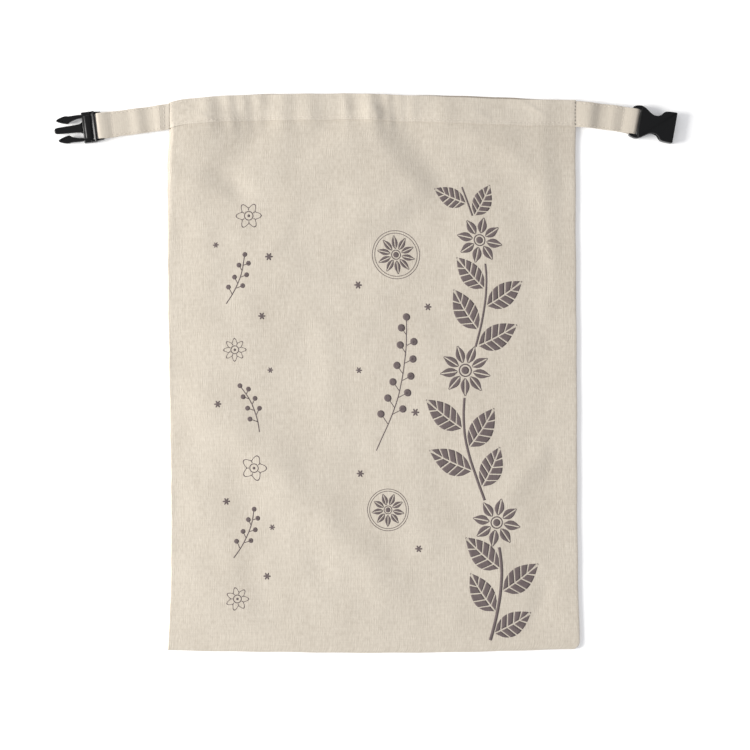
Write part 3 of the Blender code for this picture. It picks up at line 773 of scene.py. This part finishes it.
STARS = (
    # across, down, radius
    (80.0, 126.0, 3.2), (38.0, 116.0, 2.4), (74.0, 172.0, 3.0), (38.0, 240.0, 3.0), (80.0, 214.0, 2.4),
    (44.0, 316.0, 3.0), (80.0, 336.0, 2.4), (76.0, 374.0, 3.0), (150.0, 148.0, 3.2), (205.0, 164.0, 3.0),
    (150.0, 214.0, 2.6), (194.0, 246.0, 3.2), (150.0, 294.0, 3.0), (196.0, 352.0, 3.0),
)


def cells(length):
    """How many ink cells a length is cut into."""
    return max(2, int(math.ceil(abs(length) / INK_CELL)) + 1)


def direction(heading):
    """The vector of length 1 with a given heading in plan."""
    return np.array([math.cos(heading), math.sin(heading)])


def blade_half_width(t, width):
    """Half the width of a leaf at a share of its length: a sine, drawn out towards the tip."""
    return width / 2 * np.sin(math.pi * np.clip(t, 0, 1) ** 0.85) ** 0.9


def blade(foot, heading, length, width, bend=0.0, side=1, gap=0.0, span=(0.0, 1.0), slant=0.0):
    """Part of one half of a leaf, between two shares of its length, as a ruled patch.

    Each rule runs from beside the midrib to the leaf's edge, slanting forwards. The midrib bends aside by
    the square of the share of the length."""
    t = np.linspace(span[0], span[1], cells(length * (span[1] - span[0])))[:, None]
    s = np.linspace(0, 1, cells(width / 2))[None, :]
    far = np.minimum(t + slant, 1.0)
    near_out = np.minimum(gap / 2 + 0 * t, blade_half_width(t, width) + LEAST_INK)
    far_out = np.maximum(blade_half_width(far, width), gap / 2 + LEAST_INK)
    along = (t + (far - t) * s) * length
    aside = side * (near_out + (far_out - near_out) * s) + bend * length * (along / length) ** 2
    run = direction(heading)
    return np.array(foot) + run * along[..., None] + turned(run) * aside[..., None]


def cut_leaf(foot, heading, length, width, bend, veins=5, slant=0.13, gap=1.1, vein_gap=1.0):
    """A bold leaf whose midrib and side veins are left bare, as in a block print."""
    room = (0.97 - slant) / veins
    patches = []
    for side in (1, -1):
        for k in range(veins):
            span = (0.02 + k * room, 0.02 + (k + 1) * room - vein_gap / length)
            patches.append(blade(foot, heading, length, width, bend, side, gap, span, slant))
        patches.append(blade(foot, heading, length, width, bend, side, gap, (0.99 - slant, 1.0), slant))
    return patches


def band(line, half_width):
    """A stroke of ink along a line of points, with a half width at each point."""
    aside = turned(unit(np.gradient(line, axis=0)))
    s = np.linspace(-1, 1, 3)[None, :, None]
    return line[:, None] + aside[:, None] * s * np.broadcast_to(half_width, len(line))[:, None, None]


def polar(middle, inner, outer):
    """A patch round a middle, between two radii that may change with the angle."""
    turn = np.linspace(0, 2 * math.pi, 49)
    inner, outer = inner(turn), outer(turn)
    s = np.linspace(0, 1, cells(float(np.max(outer - inner))))[:, None]
    radius = inner + (outer - inner) * s
    return np.stack([middle[0] + radius * np.cos(turn), middle[1] + radius * np.sin(turn)], -1)


def ring(middle, inner, outer):
    """A round patch between two radii, or a dot where the inner one is 0."""
    return polar(middle, lambda a: inner + 0 * a, lambda a: outer + 0 * a)


def flower(middle, radius, petals, rings):
    """Petals round a dotted heart, with thin rings outside them. Most sizes are shares of the radius."""
    patches = [ring(middle, 0, 0.15 * radius), ring(middle, 0.21 * radius, 0.26 * radius)]
    width = 2 * math.pi * radius * 0.62 / petals * 0.82
    for k in range(petals):
        heading = 2 * math.pi * k / petals + 0.2
        foot = np.array(middle) + 0.31 * radius * direction(heading)
        for side in (1, -1):
            patches.append(blade(foot, heading, 0.69 * radius, width, side=side, gap=0.05 * radius))
    for k in range(rings):
        edge = radius * (1.10 + 0.13 * k)
        patches.append(ring(middle, edge, edge + 0.45))
    return patches


def star(middle, radius):
    """A small star of six soft points."""
    return [polar(middle, lambda a: 0 * a, lambda a: radius * (0.42 + 0.58 * np.abs(np.cos(3 * a)) ** 1.6))]


def line_flower(middle, radius, petals):
    """A flower in outline: a wavy ring for its petals, a stroke between each two, a round ring and a dot."""
    def wavy(turn):
        return radius * (0.80 + 0.20 * np.cos(petals * turn))
    patches = [polar(middle, lambda a: wavy(a) - LINE_HALF, lambda a: wavy(a) + LINE_HALF)]
    patches.append(ring(middle, 0.30 * radius, 0.30 * radius + 0.7))
    patches.append(ring(middle, 0, 0.11 * radius))
    reach = np.linspace(0.42, 0.56, 6)[:, None] * radius
    for k in range(petals):
        between = direction(2 * math.pi * (k + 0.5) / petals)
        patches.append(band(np.array(middle) + reach * between, 0.32))
    return patches


def berry_sprig(foot, top, berries, radius):
    """A thin curved stalk with round berries on short stems, which leave it left and right in turn."""
    share = np.linspace(0, 1, 40)
    run = np.array(top) - np.array(foot)
    line = np.array(foot) + share[:, None] * run
    line += (0.07 * np.sin(math.pi * share))[:, None] * turned(run)
    patches = [band(line, LINE_HALF)]
    heading = math.atan2(run[1], run[0])
    for k in range(berries):
        root = line[int(39 * (0.22 + 0.72 * k / berries))]
        turn = heading + (0.85 if k % 2 else -0.85)
        reach = (3.4 - 1.2 * k / berries) * radius
        berry = root + reach * direction(turn)
        patches.append(band(root + np.linspace(0, 1, 5)[:, None] * (berry - root), 0.3))
        patches.append(ring(berry, 0, radius))
    patches.append(ring(line[-1], 0, radius))
    return patches


def branch():
    """The large branch: a swaying stem that passes behind the flowers, and bold leaves left and right."""
    share = np.linspace(0, 1, 240)
    foot, top = np.array(BRANCH_FOOT), np.array(BRANCH_TOP)
    line = foot + share[:, None] * (top - foot)
    line[:, 0] += BRANCH_SWAY * np.sin(3.1 * math.pi * share)
    slope = np.gradient(line, axis=0)
    hidden = np.zeros(len(share), bool)
    for across, down, radius, _, _ in FLOWERS:
        hidden |= np.hypot(line[:, 0] - across, line[:, 1] - down) < radius
    runs = np.split(np.arange(len(share)), np.flatnonzero(np.diff(hidden.astype(int))) + 1)
    patches = [band(line[run], 1.25 - 0.6 * share[run]) for run in runs if not hidden[run[0]]]
    for up, side, length, width in BRANCH_LEAVES:
        k = int(up * (len(share) - 1))
        heading = math.atan2(slope[k, 1], slope[k, 0]) + side * LEAF_ANGLE
        root = line[k] + LEAF_STEM * direction(heading)
        patches += cut_leaf(root, heading, length, width, bend=-side * 0.10)
    return patches


def print_on_cloth(material):
    """All the ink as one mesh of patches, each laid on the front's face and turned to face up."""
    patches = branch()
    for across, down, radius, petals, rings in FLOWERS:
        patches += flower((across, down), radius, petals, rings)
    for across, down, radius, petals in LINE_FLOWERS:
        patches += line_flower((across, down), radius, petals)
    for a0, d0, a1, d1, berries, radius in BERRY_SPRIGS:
        patches += berry_sprig((a0, d0), (a1, d1), berries, radius)
    for across, down, radius in STARS:
        patches += star((across, down), radius)
    points, place, faces = [], [], []
    start = 0
    for patch in patches:
        spot = front_place(patch[..., 0], patch[..., 1]) + np.array([0.0, 0.0, INK_LIFT])
        index = start + np.arange(spot[..., 0].size).reshape(spot.shape[:2])
        start += index.size
        across_cell = (spot[:-1, 1:] - spot[:-1, :-1])[..., :2]
        down_cell = (spot[1:, :-1] - spot[:-1, :-1])[..., :2]
        facing = (turned(across_cell) * down_cell).sum()
        faces += quads(index, upwards=facing < 0)
        points.append(spot.reshape(-1, 3))
        place.append(np.concatenate([patch, 0 * patch[..., :1]], -1).reshape(-1, 3))
    piece = add_piece("front_print", np.concatenate(points), faces, material, np.concatenate(place))
    film = piece.modifiers.new("film", "SOLIDIFY")
    film.thickness = INK_FILM * MM
    film.offset = -1.0
    return piece


front_print = print_on_cloth(canvas("print_ink", INK_DARK, INK_LIGHT))

# Strap tabs
# Canvas strips folded to 20 mm and topstitched along both edges. Each leaves an end of the hem band, goes
# over a buckle half's bar and comes back under itself, where a row of stitches holds it.
STRAP_WIDTH = 20.2
STRAP_CLOTH = 1.4
PIECE_GAP = 0.3
ROOT_CUT_SHARE = 0.3
BAR_RADIUS = 1.5
BAR_HEIGHT = 3.5
STITCH_FROM_BAR = 9.5
TAIL_FROM_BAR = 12.5
TAB_PITCH = 3.0
TAB_STITCH = 2.3
LOOP_FULLNESS = 0.72
EDGE_STITCH = 1.7
EDGE_PUCKER = 0.07
EDGE_PUCKER_PITCH = 3.1
EDGE_PUCKER_REACH = 1.6
MARGIN_DIP = 0.22
MARGIN_HALF = 0.5
TAB_PRESSED = 0.03
TAB_UNEVEN = 0.010
TAB_CONTRAST = 0.6
TAB_SHARP = 60
ROOT_TUCK = 0.9
LEFT_WAVES = (
    # from the bag, top
    (0.0, 4.4), (2.5, 4.2), (6.5, 4.6), (12.5, 3.7), (16.0, 3.6), (24.5, 4.8), (31.0, 4.3), (37.0, 4.6),
    (43.0, 4.9),
)
RIGHT_WAVES = (
    # from the bag, top
    (0.0, 3.9), (3.0, 4.6), (10.5, 5.8), (19.0, 4.1), (24.0, 4.4), (29.0, 5.3), (36.5, 5.0),
)
LEFT_ROOT = (-156.3, 202.6)
LEFT_BAR = (-209.9, 195.2)
MALE_TURN = 187.0
RIGHT_ROOT = (165.8, 204.7)
RIGHT_BAR = (211.7, 198.7)
FEMALE_TURN = -10.0


class Tab:
    """One strap tab: where its places lie in plan, and the line that its cloth follows from the side."""

    def __init__(self, root, bar, turn_at_bar, waves):
        run = np.array(bar) - np.array(root)
        self.root = root
        self.length = float(np.hypot(*run))
        self.along = run / self.length
        heading = math.atan2(self.along[1], self.along[0])
        self.bend = (math.radians(turn_at_bar) - heading + math.pi) % (2 * math.pi) - math.pi
        self.square_on = round(heading / math.pi) * math.pi - heading
        self.waves = waves
        self.stitch = self.length - STITCH_FROM_BAR

    def plan(self, s, aside):
        """Plan of a place s along the tab and aside from its middle: a shallow arc, square to the bag."""
        share = s / self.length
        bowed = -self.bend * self.length * share * (1 - share)
        cut = 1 - ease(share / ROOT_CUT_SHARE)
        turn = (1 - cut) * self.bend * (2 * share - 1) + cut * self.square_on
        forward = s - aside * np.sin(turn)
        sideways = bowed + aside * np.cos(turn)
        x = self.root[0] + self.along[0] * forward - self.along[1] * sideways
        y = self.root[1] + self.along[1] * forward + self.along[0] * sideways
        return x, y

    def side_line(self):
        """The middle line of the cloth from the side: out on its waves, round the bar, and back below."""
        reach = BAR_RADIUS + PIECE_GAP + STRAP_CLOTH / 2
        out = np.linspace(-ROOT_TUCK, self.length, 64)
        back = np.linspace(self.length, self.length - TAIL_FROM_BAR, 18)
        bend = np.radians(np.linspace(90, -90, 15))[1:-1]
        upper = np.stack([out, self.middle_height(out, 0, reach)], -1)
        loop = np.stack([self.length + reach * np.cos(bend), BAR_HEIGHT + reach * np.sin(bend)], -1)
        lower = np.stack([back, self.middle_height(back, 1, -reach)], -1)
        return np.concatenate([upper, loop, lower])

    def middle_height(self, s, layer, at_bar):
        """Height of a layer's middle: on the wave as far as the stitches, then easing to the bar's loop."""
        wave = smooth_curve(self.waves, np.minimum(s, self.stitch)) - STRAP_CLOTH * (0.5 + layer)
        past_stitch = np.clip((s - self.stitch) / (self.length - self.stitch), 0.0, 1.0)
        return wave + (BAR_HEIGHT + at_bar - wave) * ease(past_stitch ** LOOP_FULLNESS)

    def top(self, s, aside):
        """A place on the tab's upper face, for its stitches."""
        reach = BAR_RADIUS + PIECE_GAP + STRAP_CLOTH / 2
        x, y = self.plan(s, aside)
        return np.stack([x, y, self.middle_height(s, 0, reach) + STRAP_CLOTH / 2], -1)


def closed_skin(sections, upwards=True):
    """Points and faces of a skin over a row of like closed sections, with a flat cap at each end.

    The caps are wound so that they face out of the skin, as its sides do."""
    index = np.arange(sections[..., 0].size).reshape(sections.shape[:2])
    faces = quads(np.concatenate([index, index[:, :1]], axis=1), upwards)
    order = 1 if upwards else -1
    faces += [index[0][::order].tolist(), index[-1][::-order].tolist()]
    return sections.reshape(-1, 3), faces


def tab_cloth(name, tab, node_name, material):
    """The tab's strip: a flat section with round edges and stitched-down margins, carried along its line."""
    line = tab.side_line()
    normal = turned(unit(np.gradient(line, axis=0)))
    length = np.concatenate([[0.0], np.cumsum(np.hypot(*np.diff(line, axis=0).T))])
    half_cloth = STRAP_CLOTH / 2 - TAB_PRESSED
    half_width = STRAP_WIDTH / 2 - half_cloth
    flat = np.linspace(-half_width, half_width, 45)
    turn = np.radians(np.linspace(90, -90, 7))[1:-1]
    bulge = half_width + half_cloth * np.cos(turn)
    aside = np.concatenate([flat, bulge, flat[::-1], -bulge])
    off = np.concatenate([0 * flat + 1, np.sin(turn), 0 * flat - 1, -np.sin(turn)]) * half_cloth
    margin = np.exp(-((np.abs(aside) - (STRAP_WIDTH / 2 - EDGE_STITCH)) / MARGIN_HALF) ** 2)
    by_edge = np.exp(-(STRAP_WIDTH / 2 - np.abs(aside)) / EDGE_PUCKER_REACH)
    pucker = EDGE_PUCKER * np.sin(2 * math.pi * length / EDGE_PUCKER_PITCH)[:, None] * by_edge
    off = (off * (1 - MARGIN_DIP * margin))[None, :] + pucker
    aside = np.broadcast_to(aside, off.shape) * (1 + TAB_UNEVEN * np.sin(length / 3.7))[:, None]
    x, y = tab.plan(line[:, :1] + normal[:, :1] * off, aside)
    points = np.stack([x, y, line[:, 1:] + normal[:, 1:] * off], -1)
    place = np.stack([np.broadcast_to(length[:, None], aside.shape), aside, 0 * aside], -1)
    points, faces = closed_skin(points)
    piece = add_piece(name, points, faces, material, place.reshape(-1, 3), sharp=TAB_SHARP)
    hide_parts(node_name)
    return piece, float(length[-1])


def tab_sewing(name, tab, cross_rows, seed):
    """Topstitching near both edges, the row under which the end is held, and any more rows across."""
    edge = STRAP_WIDTH / 2 - EDGE_STITCH
    rows = [(2.0, side * edge, tab.stitch - 1.0, side * edge) for side in (1, -1)]
    rows += [(s, -edge, s, edge) for s in (*cross_rows, tab.stitch)]
    return sew(name, tab.top, rows, TAB_PITCH, TAB_STITCH, seed, thread)


tabs = (
    # hand, tab, the buckle half that it holds, stitch rows across its root, painted shade of its cloth
    ("left", Tab(LEFT_ROOT, LEFT_BAR, MALE_TURN, LEFT_WAVES), "buckle_male", (3.4, 6.8), 1.0),
    ("right", Tab(RIGHT_ROOT, RIGHT_BAR, FEMALE_TURN, RIGHT_WAVES), "buckle_female", (), 0.93),
)
for seed, (hand, tab, buckle_node, cross_rows, shade) in enumerate(tabs, 20):
    # The right tab gets a copy of the canvas painted darker, as painted shade
    tones = [shaded(tone, shade) for tone in (CANVAS_DARK, CANVAS_LIGHT)]
    strip_canvas = canvas("tab_canvas_" + hand, *tones, TAB_CONTRAST)
    cloth, strip_length = tab_cloth("strap_cloth_" + hand, tab, "strap_" + hand, strip_canvas)
    sewing = tab_sewing("strap_sewing_" + hand, tab, cross_rows, seed)

# Male buckle half
# Black moulded acetal: a stepped body block with two side arms that carry the strap's bar, two springy
# prongs with arrow heads, and a centre guide with a round tip.
PLASTIC = (0.0045, 0.0045, 0.005, 1.0)
PLASTIC_EDGE = 0.55
SLIM_EDGE = 0.4
PRONG_EDGE = 0.8
BAR_EDGE = 0.3
PLASTIC_SHARP = 50
PLASTIC_GRAIN = {"Scale": 3200.0, "Detail": 3.0}
PLASTIC_ROUGHNESS = {"To Min": 0.24, "To Max": 0.38}
PLASTIC_RELIEF = (0.12, 0.05)
BAR_HALF = 11.0
MALE_BODY_HALF = 12.1
MALE_SIDE_VIEW = (
    # along, height
    (3.6, 0.4), (4.2, 0.0), (13.4, 0.0), (14.0, 0.6), (14.0, 4.8), (13.6, 5.3), (12.4, 5.5), (7.0, 5.5),
    (6.4, 5.3), (4.3, 6.4), (3.8, 6.4), (3.5, 6.0),
)
MALE_RISE_HALF = 9.0
MALE_RISE_VIEW = (
    # along, height
    (7.2, 4.4), (12.9, 4.4), (12.9, 5.4), (11.6, 6.7), (10.9, 7.0), (7.6, 7.0), (7.2, 6.6),
)
ARM = (
    # along, from the middle
    (-2.2, 10.1), (-1.4, 10.7), (1.8, 11.3), (7.0, 12.1), (8.4, 12.1), (8.4, 10.0),
)
ARM_HEIGHTS = (1.0, 6.0)
PRONG = (
    # along, from the middle
    (12.6, 7.9), (18.4, 7.6), (20.2, 6.9), (22.8, 6.2), (24.6, 4.7), (25.6, 4.5), (29.5, 5.4), (33.6, 7.1),
    (34.3, 8.0), (33.0, 9.2), (28.6, 10.7), (25.6, 10.9), (24.0, 10.3), (12.6, 10.8),
)
PRONG_HEIGHTS = (1.8, 5.6)
GUIDE = (
    # along, from the middle
    (13.0, 5.6), (14.6, 4.0), (17.2, 3.0), (33.0, 2.6), (35.4, 2.3), (36.4, 1.0),
)
GUIDE_HEIGHTS = (2.1, 5.3)


def plastic():
    """Satin black plastic with the faint grain of its mould."""
    finish = {"Base Color": PLASTIC, "Specular IOR Level": 0.28}
    material, tree, shader = new_material("buckle_plastic", finish)
    grain = node(tree, "ShaderNodeTexNoise")
    set_inputs(grain, PLASTIC_GRAIN)
    tree.links.new(node(tree, "ShaderNodeTexCoord").outputs["Object"], grain.inputs["Vector"])
    rough = node(tree, "ShaderNodeMapRange")
    set_inputs(rough, PLASTIC_ROUGHNESS)
    tree.links.new(grain.outputs[0], rough.inputs["Value"])
    tree.links.new(rough.outputs[0], shader.inputs["Roughness"])
    add_relief(tree, shader, grain.outputs[0], *PLASTIC_RELIEF)
    return material


def cut_corners(points, passes=2):
    """Round a closed outline: each pass keeps the points at 1/4 and 3/4 of every side."""
    points = np.array(points, float)
    for _ in range(passes):
        following = np.roll(points, -1, axis=0)
        pairs = [0.75 * points + 0.25 * following, 0.25 * points + 0.75 * following]
        points = np.stack(pairs, 1).reshape(-1, 2)
    return points


def inset(outline, depth):
    """Move each point of an anticlockwise outline inwards, square to the sides beside it."""
    before = unit(outline - np.roll(outline, 1, axis=0))
    after = unit(np.roll(outline, -1, axis=0) - outline)
    inward = turned(before + after)
    size = np.hypot(inward[:, 0], inward[:, 1])[:, None]
    return outline + depth * inward / size * np.minimum(2 / size, 1.5)


def anticlockwise(outline):
    """The outline, turned round if it runs clockwise."""
    outline = np.array(outline, float)
    area = (turned(outline) * np.roll(outline, -1, axis=0)).sum()
    return outline if area > 0 else outline[::-1]


def plate_shell(outline, low, high, edge=PLASTIC_EDGE):
    """A closed plate: its outline carried up over two quarter-round edges, with a flat cap at each end."""
    outline = anticlockwise(outline)
    turns = np.radians([-90, -90, -60, -30, 0, 0, 30, 60, 90, 90])
    depths = edge * (1 - np.cos(turns) + 0.45 * (np.arange(10) % 9 == 0))
    rings = [inset(outline, depth) for depth in depths]
    heights = np.repeat([low + edge, high - edge], 5) + edge * np.sin(turns)
    sections = np.stack([np.insert(line, 2, z, axis=1) for line, z in zip(rings, heights)])
    return closed_skin(sections, upwards=False)


def swept_block(side_view, half_width, edge=PLASTIC_EDGE):
    """A closed block: its side view carried across the buckle, with a quarter round at each end."""
    side_view = anticlockwise(side_view)
    turns = np.radians(np.concatenate([np.linspace(-90, 0, 4), np.linspace(0, 90, 4)]))
    middles = np.repeat([-half_width + edge, half_width - edge], 4)
    rings = [inset(side_view, edge * (1 - math.cos(turn))) for turn in turns]
    places = middles + edge * np.sin(turns)
    sections = np.stack([np.insert(line, 1, b, axis=1) for line, b in zip(rings, places)])
    return closed_skin(sections)


def bar_shell():
    """The round bar, a circle carried across the buckle between its arms."""
    turn = np.linspace(0, 2 * math.pi, 25)[:-1]
    circle = np.stack([BAR_RADIUS * np.cos(turn), BAR_HEIGHT + BAR_RADIUS * np.sin(turn)], -1)
    return swept_block(circle, BAR_HALF, BAR_EDGE)


def both_hands(outline):
    """An outline and its mirror image across the middle line."""
    return [np.array(outline, float) * (1, side) for side in (1, -1)]


def both_sides(edge):
    """A whole outline from its one side, with the mirror image across the middle line."""
    return list(edge) + [(along, -aside) for along, aside in reversed(edge)]


def plastic_piece(name, shells, bar, turn, sharp=None):
    """Shells in one piece, turned by the buckle's heading and moved onto its bar's place."""
    cos, sin = math.cos(math.radians(turn)), math.sin(math.radians(turn))
    points, faces, start = [], [], 0
    for shell_points, shell_faces in shells:
        a, b, z = shell_points.T
        points.append(np.stack([bar[0] + a * cos - b * sin, bar[1] + a * sin + b * cos, z], -1))
        faces += [[start + corner for corner in face] for face in shell_faces]
        start += len(shell_points)
    return add_piece(name, np.concatenate(points), faces, buckle_black, sharp=sharp)


def combine(piece, other, operation):
    """Cut another piece from this one, or join it on, and take the other out of the scene."""
    modifier = piece.modifiers.new("combine", "BOOLEAN")
    modifier.operation = operation
    modifier.solver = "EXACT"
    modifier.object = other
    evaluated = piece.evaluated_get(bpy.context.evaluated_depsgraph_get())
    mesh = bpy.data.meshes.new_from_object(evaluated)
    piece.modifiers.clear()
    piece.data = mesh
    bpy.data.objects.remove(other)


buckle_black = plastic()
shells = [
    swept_block(cut_corners(MALE_SIDE_VIEW, 1), MALE_BODY_HALF),
    bar_shell(),
    swept_block(cut_corners(MALE_RISE_VIEW, 1), MALE_RISE_HALF, SLIM_EDGE),
    *[plate_shell(cut_corners(outline), *ARM_HEIGHTS) for outline in both_hands(ARM)],
    *[plate_shell(cut_corners(outline), *PRONG_HEIGHTS, PRONG_EDGE) for outline in both_hands(PRONG)],
    plate_shell(cut_corners(both_sides(GUIDE)), *GUIDE_HEIGHTS, PRONG_EDGE),
]
male_half = plastic_piece("buckle_male_half", shells, LEFT_BAR, MALE_TURN, sharp=PLASTIC_SHARP)
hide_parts("buckle_male")

# Female buckle half
# Black moulded acetal: a waisted shell with a bar between two arms at the strap, a narrow waist where
# the prongs are pressed, and a flat socket that is open at the mouth.
FEMALE_TOP = 7.4
FEMALE_MOUTH = 32.0
BODY_START = 3.5
FEMALE_SIDE = (
    # along, from the middle
    (BODY_START, 12.7), (6.0, 12.2), (8.8, 10.3), (11.4, 8.4), (14.0, 7.1), (17.4, 7.0), (19.8, 8.4),
    (21.6, 10.8), (23.4, 11.8), (28.0, 12.1), (FEMALE_MOUTH - 0.3, 12.2), (FEMALE_MOUTH, 11.6),
)
FEMALE_ARM = (
    # along, from the middle
    (-3.0, 10.4), (-2.8, 11.4), (-1.0, 12.3), (1.4, 12.9), (3.6, 13.0), (6.2, 12.2), (6.2, 10.2),
    (-2.0, 10.3),
)
FEMALE_ARM_HEIGHTS = (0.5, 6.9)
SOCKET_HALF = 10.7
SOCKET_HEIGHTS = (1.5, 5.9)
SOCKET_START = 13.2
PAST_MOUTH = 4.0

female_place = (RIGHT_BAR, FEMALE_TURN)
body = plate_shell(cut_corners(both_sides(FEMALE_SIDE)), 0.0, FEMALE_TOP)
female_half = plastic_piece("buckle_female_half", [body], *female_place)
socket_side = ((SOCKET_START, -SOCKET_HALF), (FEMALE_MOUTH + PAST_MOUTH, -SOCKET_HALF))
room = plate_shell(cut_corners(both_sides(socket_side), 1), *SOCKET_HEIGHTS, SLIM_EDGE)
combine(female_half, plastic_piece("socket", [room], *female_place), "DIFFERENCE")
arms = [plate_shell(cut_corners(side), *FEMALE_ARM_HEIGHTS, SLIM_EDGE) for side in both_hands(FEMALE_ARM)]
for number, shell in enumerate([*arms, bar_shell()]):
    combine(female_half, plastic_piece(f"female_part_{number}", [shell], *female_place), "UNION")
female_half.data.shade_smooth()
female_half.data.set_sharp_from_angle(angle=math.radians(PLASTIC_SHARP))
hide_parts("buckle_female")

# Floor, light and camera
# A plain white surface with a faint glow of its own, a large soft light low at the left, a white surround
# that is brightest at the horizon, and a camera that looks straight down. A pixel is 0.79 mm on the cloth.
PIXEL_MM = 0.79
FRAME_PIXELS = 750
FRAME_MIDDLE_X = 6.9
FRAME_MIDDLE_Y = -1.4
CLOTH_MIDDLE_Z = 2.5
LENS = 85.0
SENSOR = 36.0
KEY_PLACE = (-2.84, -0.08, 1.48)
KEY_SIZE = 1.3
KEY_POWER = 150.0
KEY_COLOUR = (1.0, 0.985, 0.955)
FLOOR_REACH = 6.0
FLOOR_LEVEL = -0.0002
FLOOR_FINISH = {
    "Base Color": (0.92, 0.92, 0.92, 1.0),
    "Roughness": 1.0,
    "Specular IOR Level": 0.0,
    "Emission Color": (1.0, 1.0, 1.0, 1.0),
    "Emission Strength": 0.16,
}
HORIZON_LIGHT = 1.32
ZENITH_LIGHT = 0.33
SURROUND_COLOUR = (0.965, 0.970, 1.0, 1.0)


def add_floor():
    """A wide plane just under the bag."""
    mesh = bpy.data.meshes.new("floor")
    signs = ((-1, -1), (1, -1), (1, 1), (-1, 1))
    corners = [(FLOOR_REACH * along, FLOOR_REACH * aside, FLOOR_LEVEL) for along, aside in signs]
    mesh.from_pydata(corners, [], [(0, 1, 2, 3)])
    mesh.materials.append(new_material("floor_white", FLOOR_FINISH)[0])
    floor = bpy.data.objects.new("floor", mesh)
    bpy.context.scene.collection.objects.link(floor)


def aim(thing, target):
    """Turn a light or camera so that it looks at the target."""
    thing.rotation_euler = (Vector(target) - thing.location).to_track_quat("-Z", "Y").to_euler()


add_floor()
key = bpy.data.lights.new("key", "AREA")
key.energy = KEY_POWER
key.size = KEY_SIZE
key.color = KEY_COLOUR
key_object = bpy.data.objects.new("key", key)
key_object.location = KEY_PLACE
key_object.visible_camera = False
aim(key_object, (0.0, 0.0, 0.0))
bpy.context.scene.collection.objects.link(key_object)

world = bpy.data.worlds.new("surround")
world.use_nodes = True
sky = world.node_tree
background = sky.nodes["Background"]
set_inputs(background, {"Color": SURROUND_COLOUR})
heading = node(sky, "ShaderNodeTexCoord")
height = node(sky, "ShaderNodeSeparateXYZ")
sky.links.new(heading.outputs["Generated"], height.inputs[0])
glow = node(sky, "ShaderNodeMapRange")
set_inputs(glow, {"To Min": HORIZON_LIGHT, "To Max": ZENITH_LIGHT})
sky.links.new(height.outputs[2], glow.inputs["Value"])
sky.links.new(glow.outputs[0], background.inputs["Strength"])
bpy.context.scene.world = world
bpy.context.scene.view_settings.view_transform = "Standard"

lens = bpy.data.cameras.new("camera")
lens.lens = LENS
lens.sensor_width = SENSOR
camera = bpy.data.objects.new("camera", lens)
camera_height = FRAME_PIXELS * PIXEL_MM * LENS / SENSOR + CLOTH_MIDDLE_Z
camera.location = (FRAME_MIDDLE_X * MM, FRAME_MIDDLE_Y * MM, camera_height * MM)
bpy.context.scene.collection.objects.link(camera)
bpy.context.scene.camera = camera
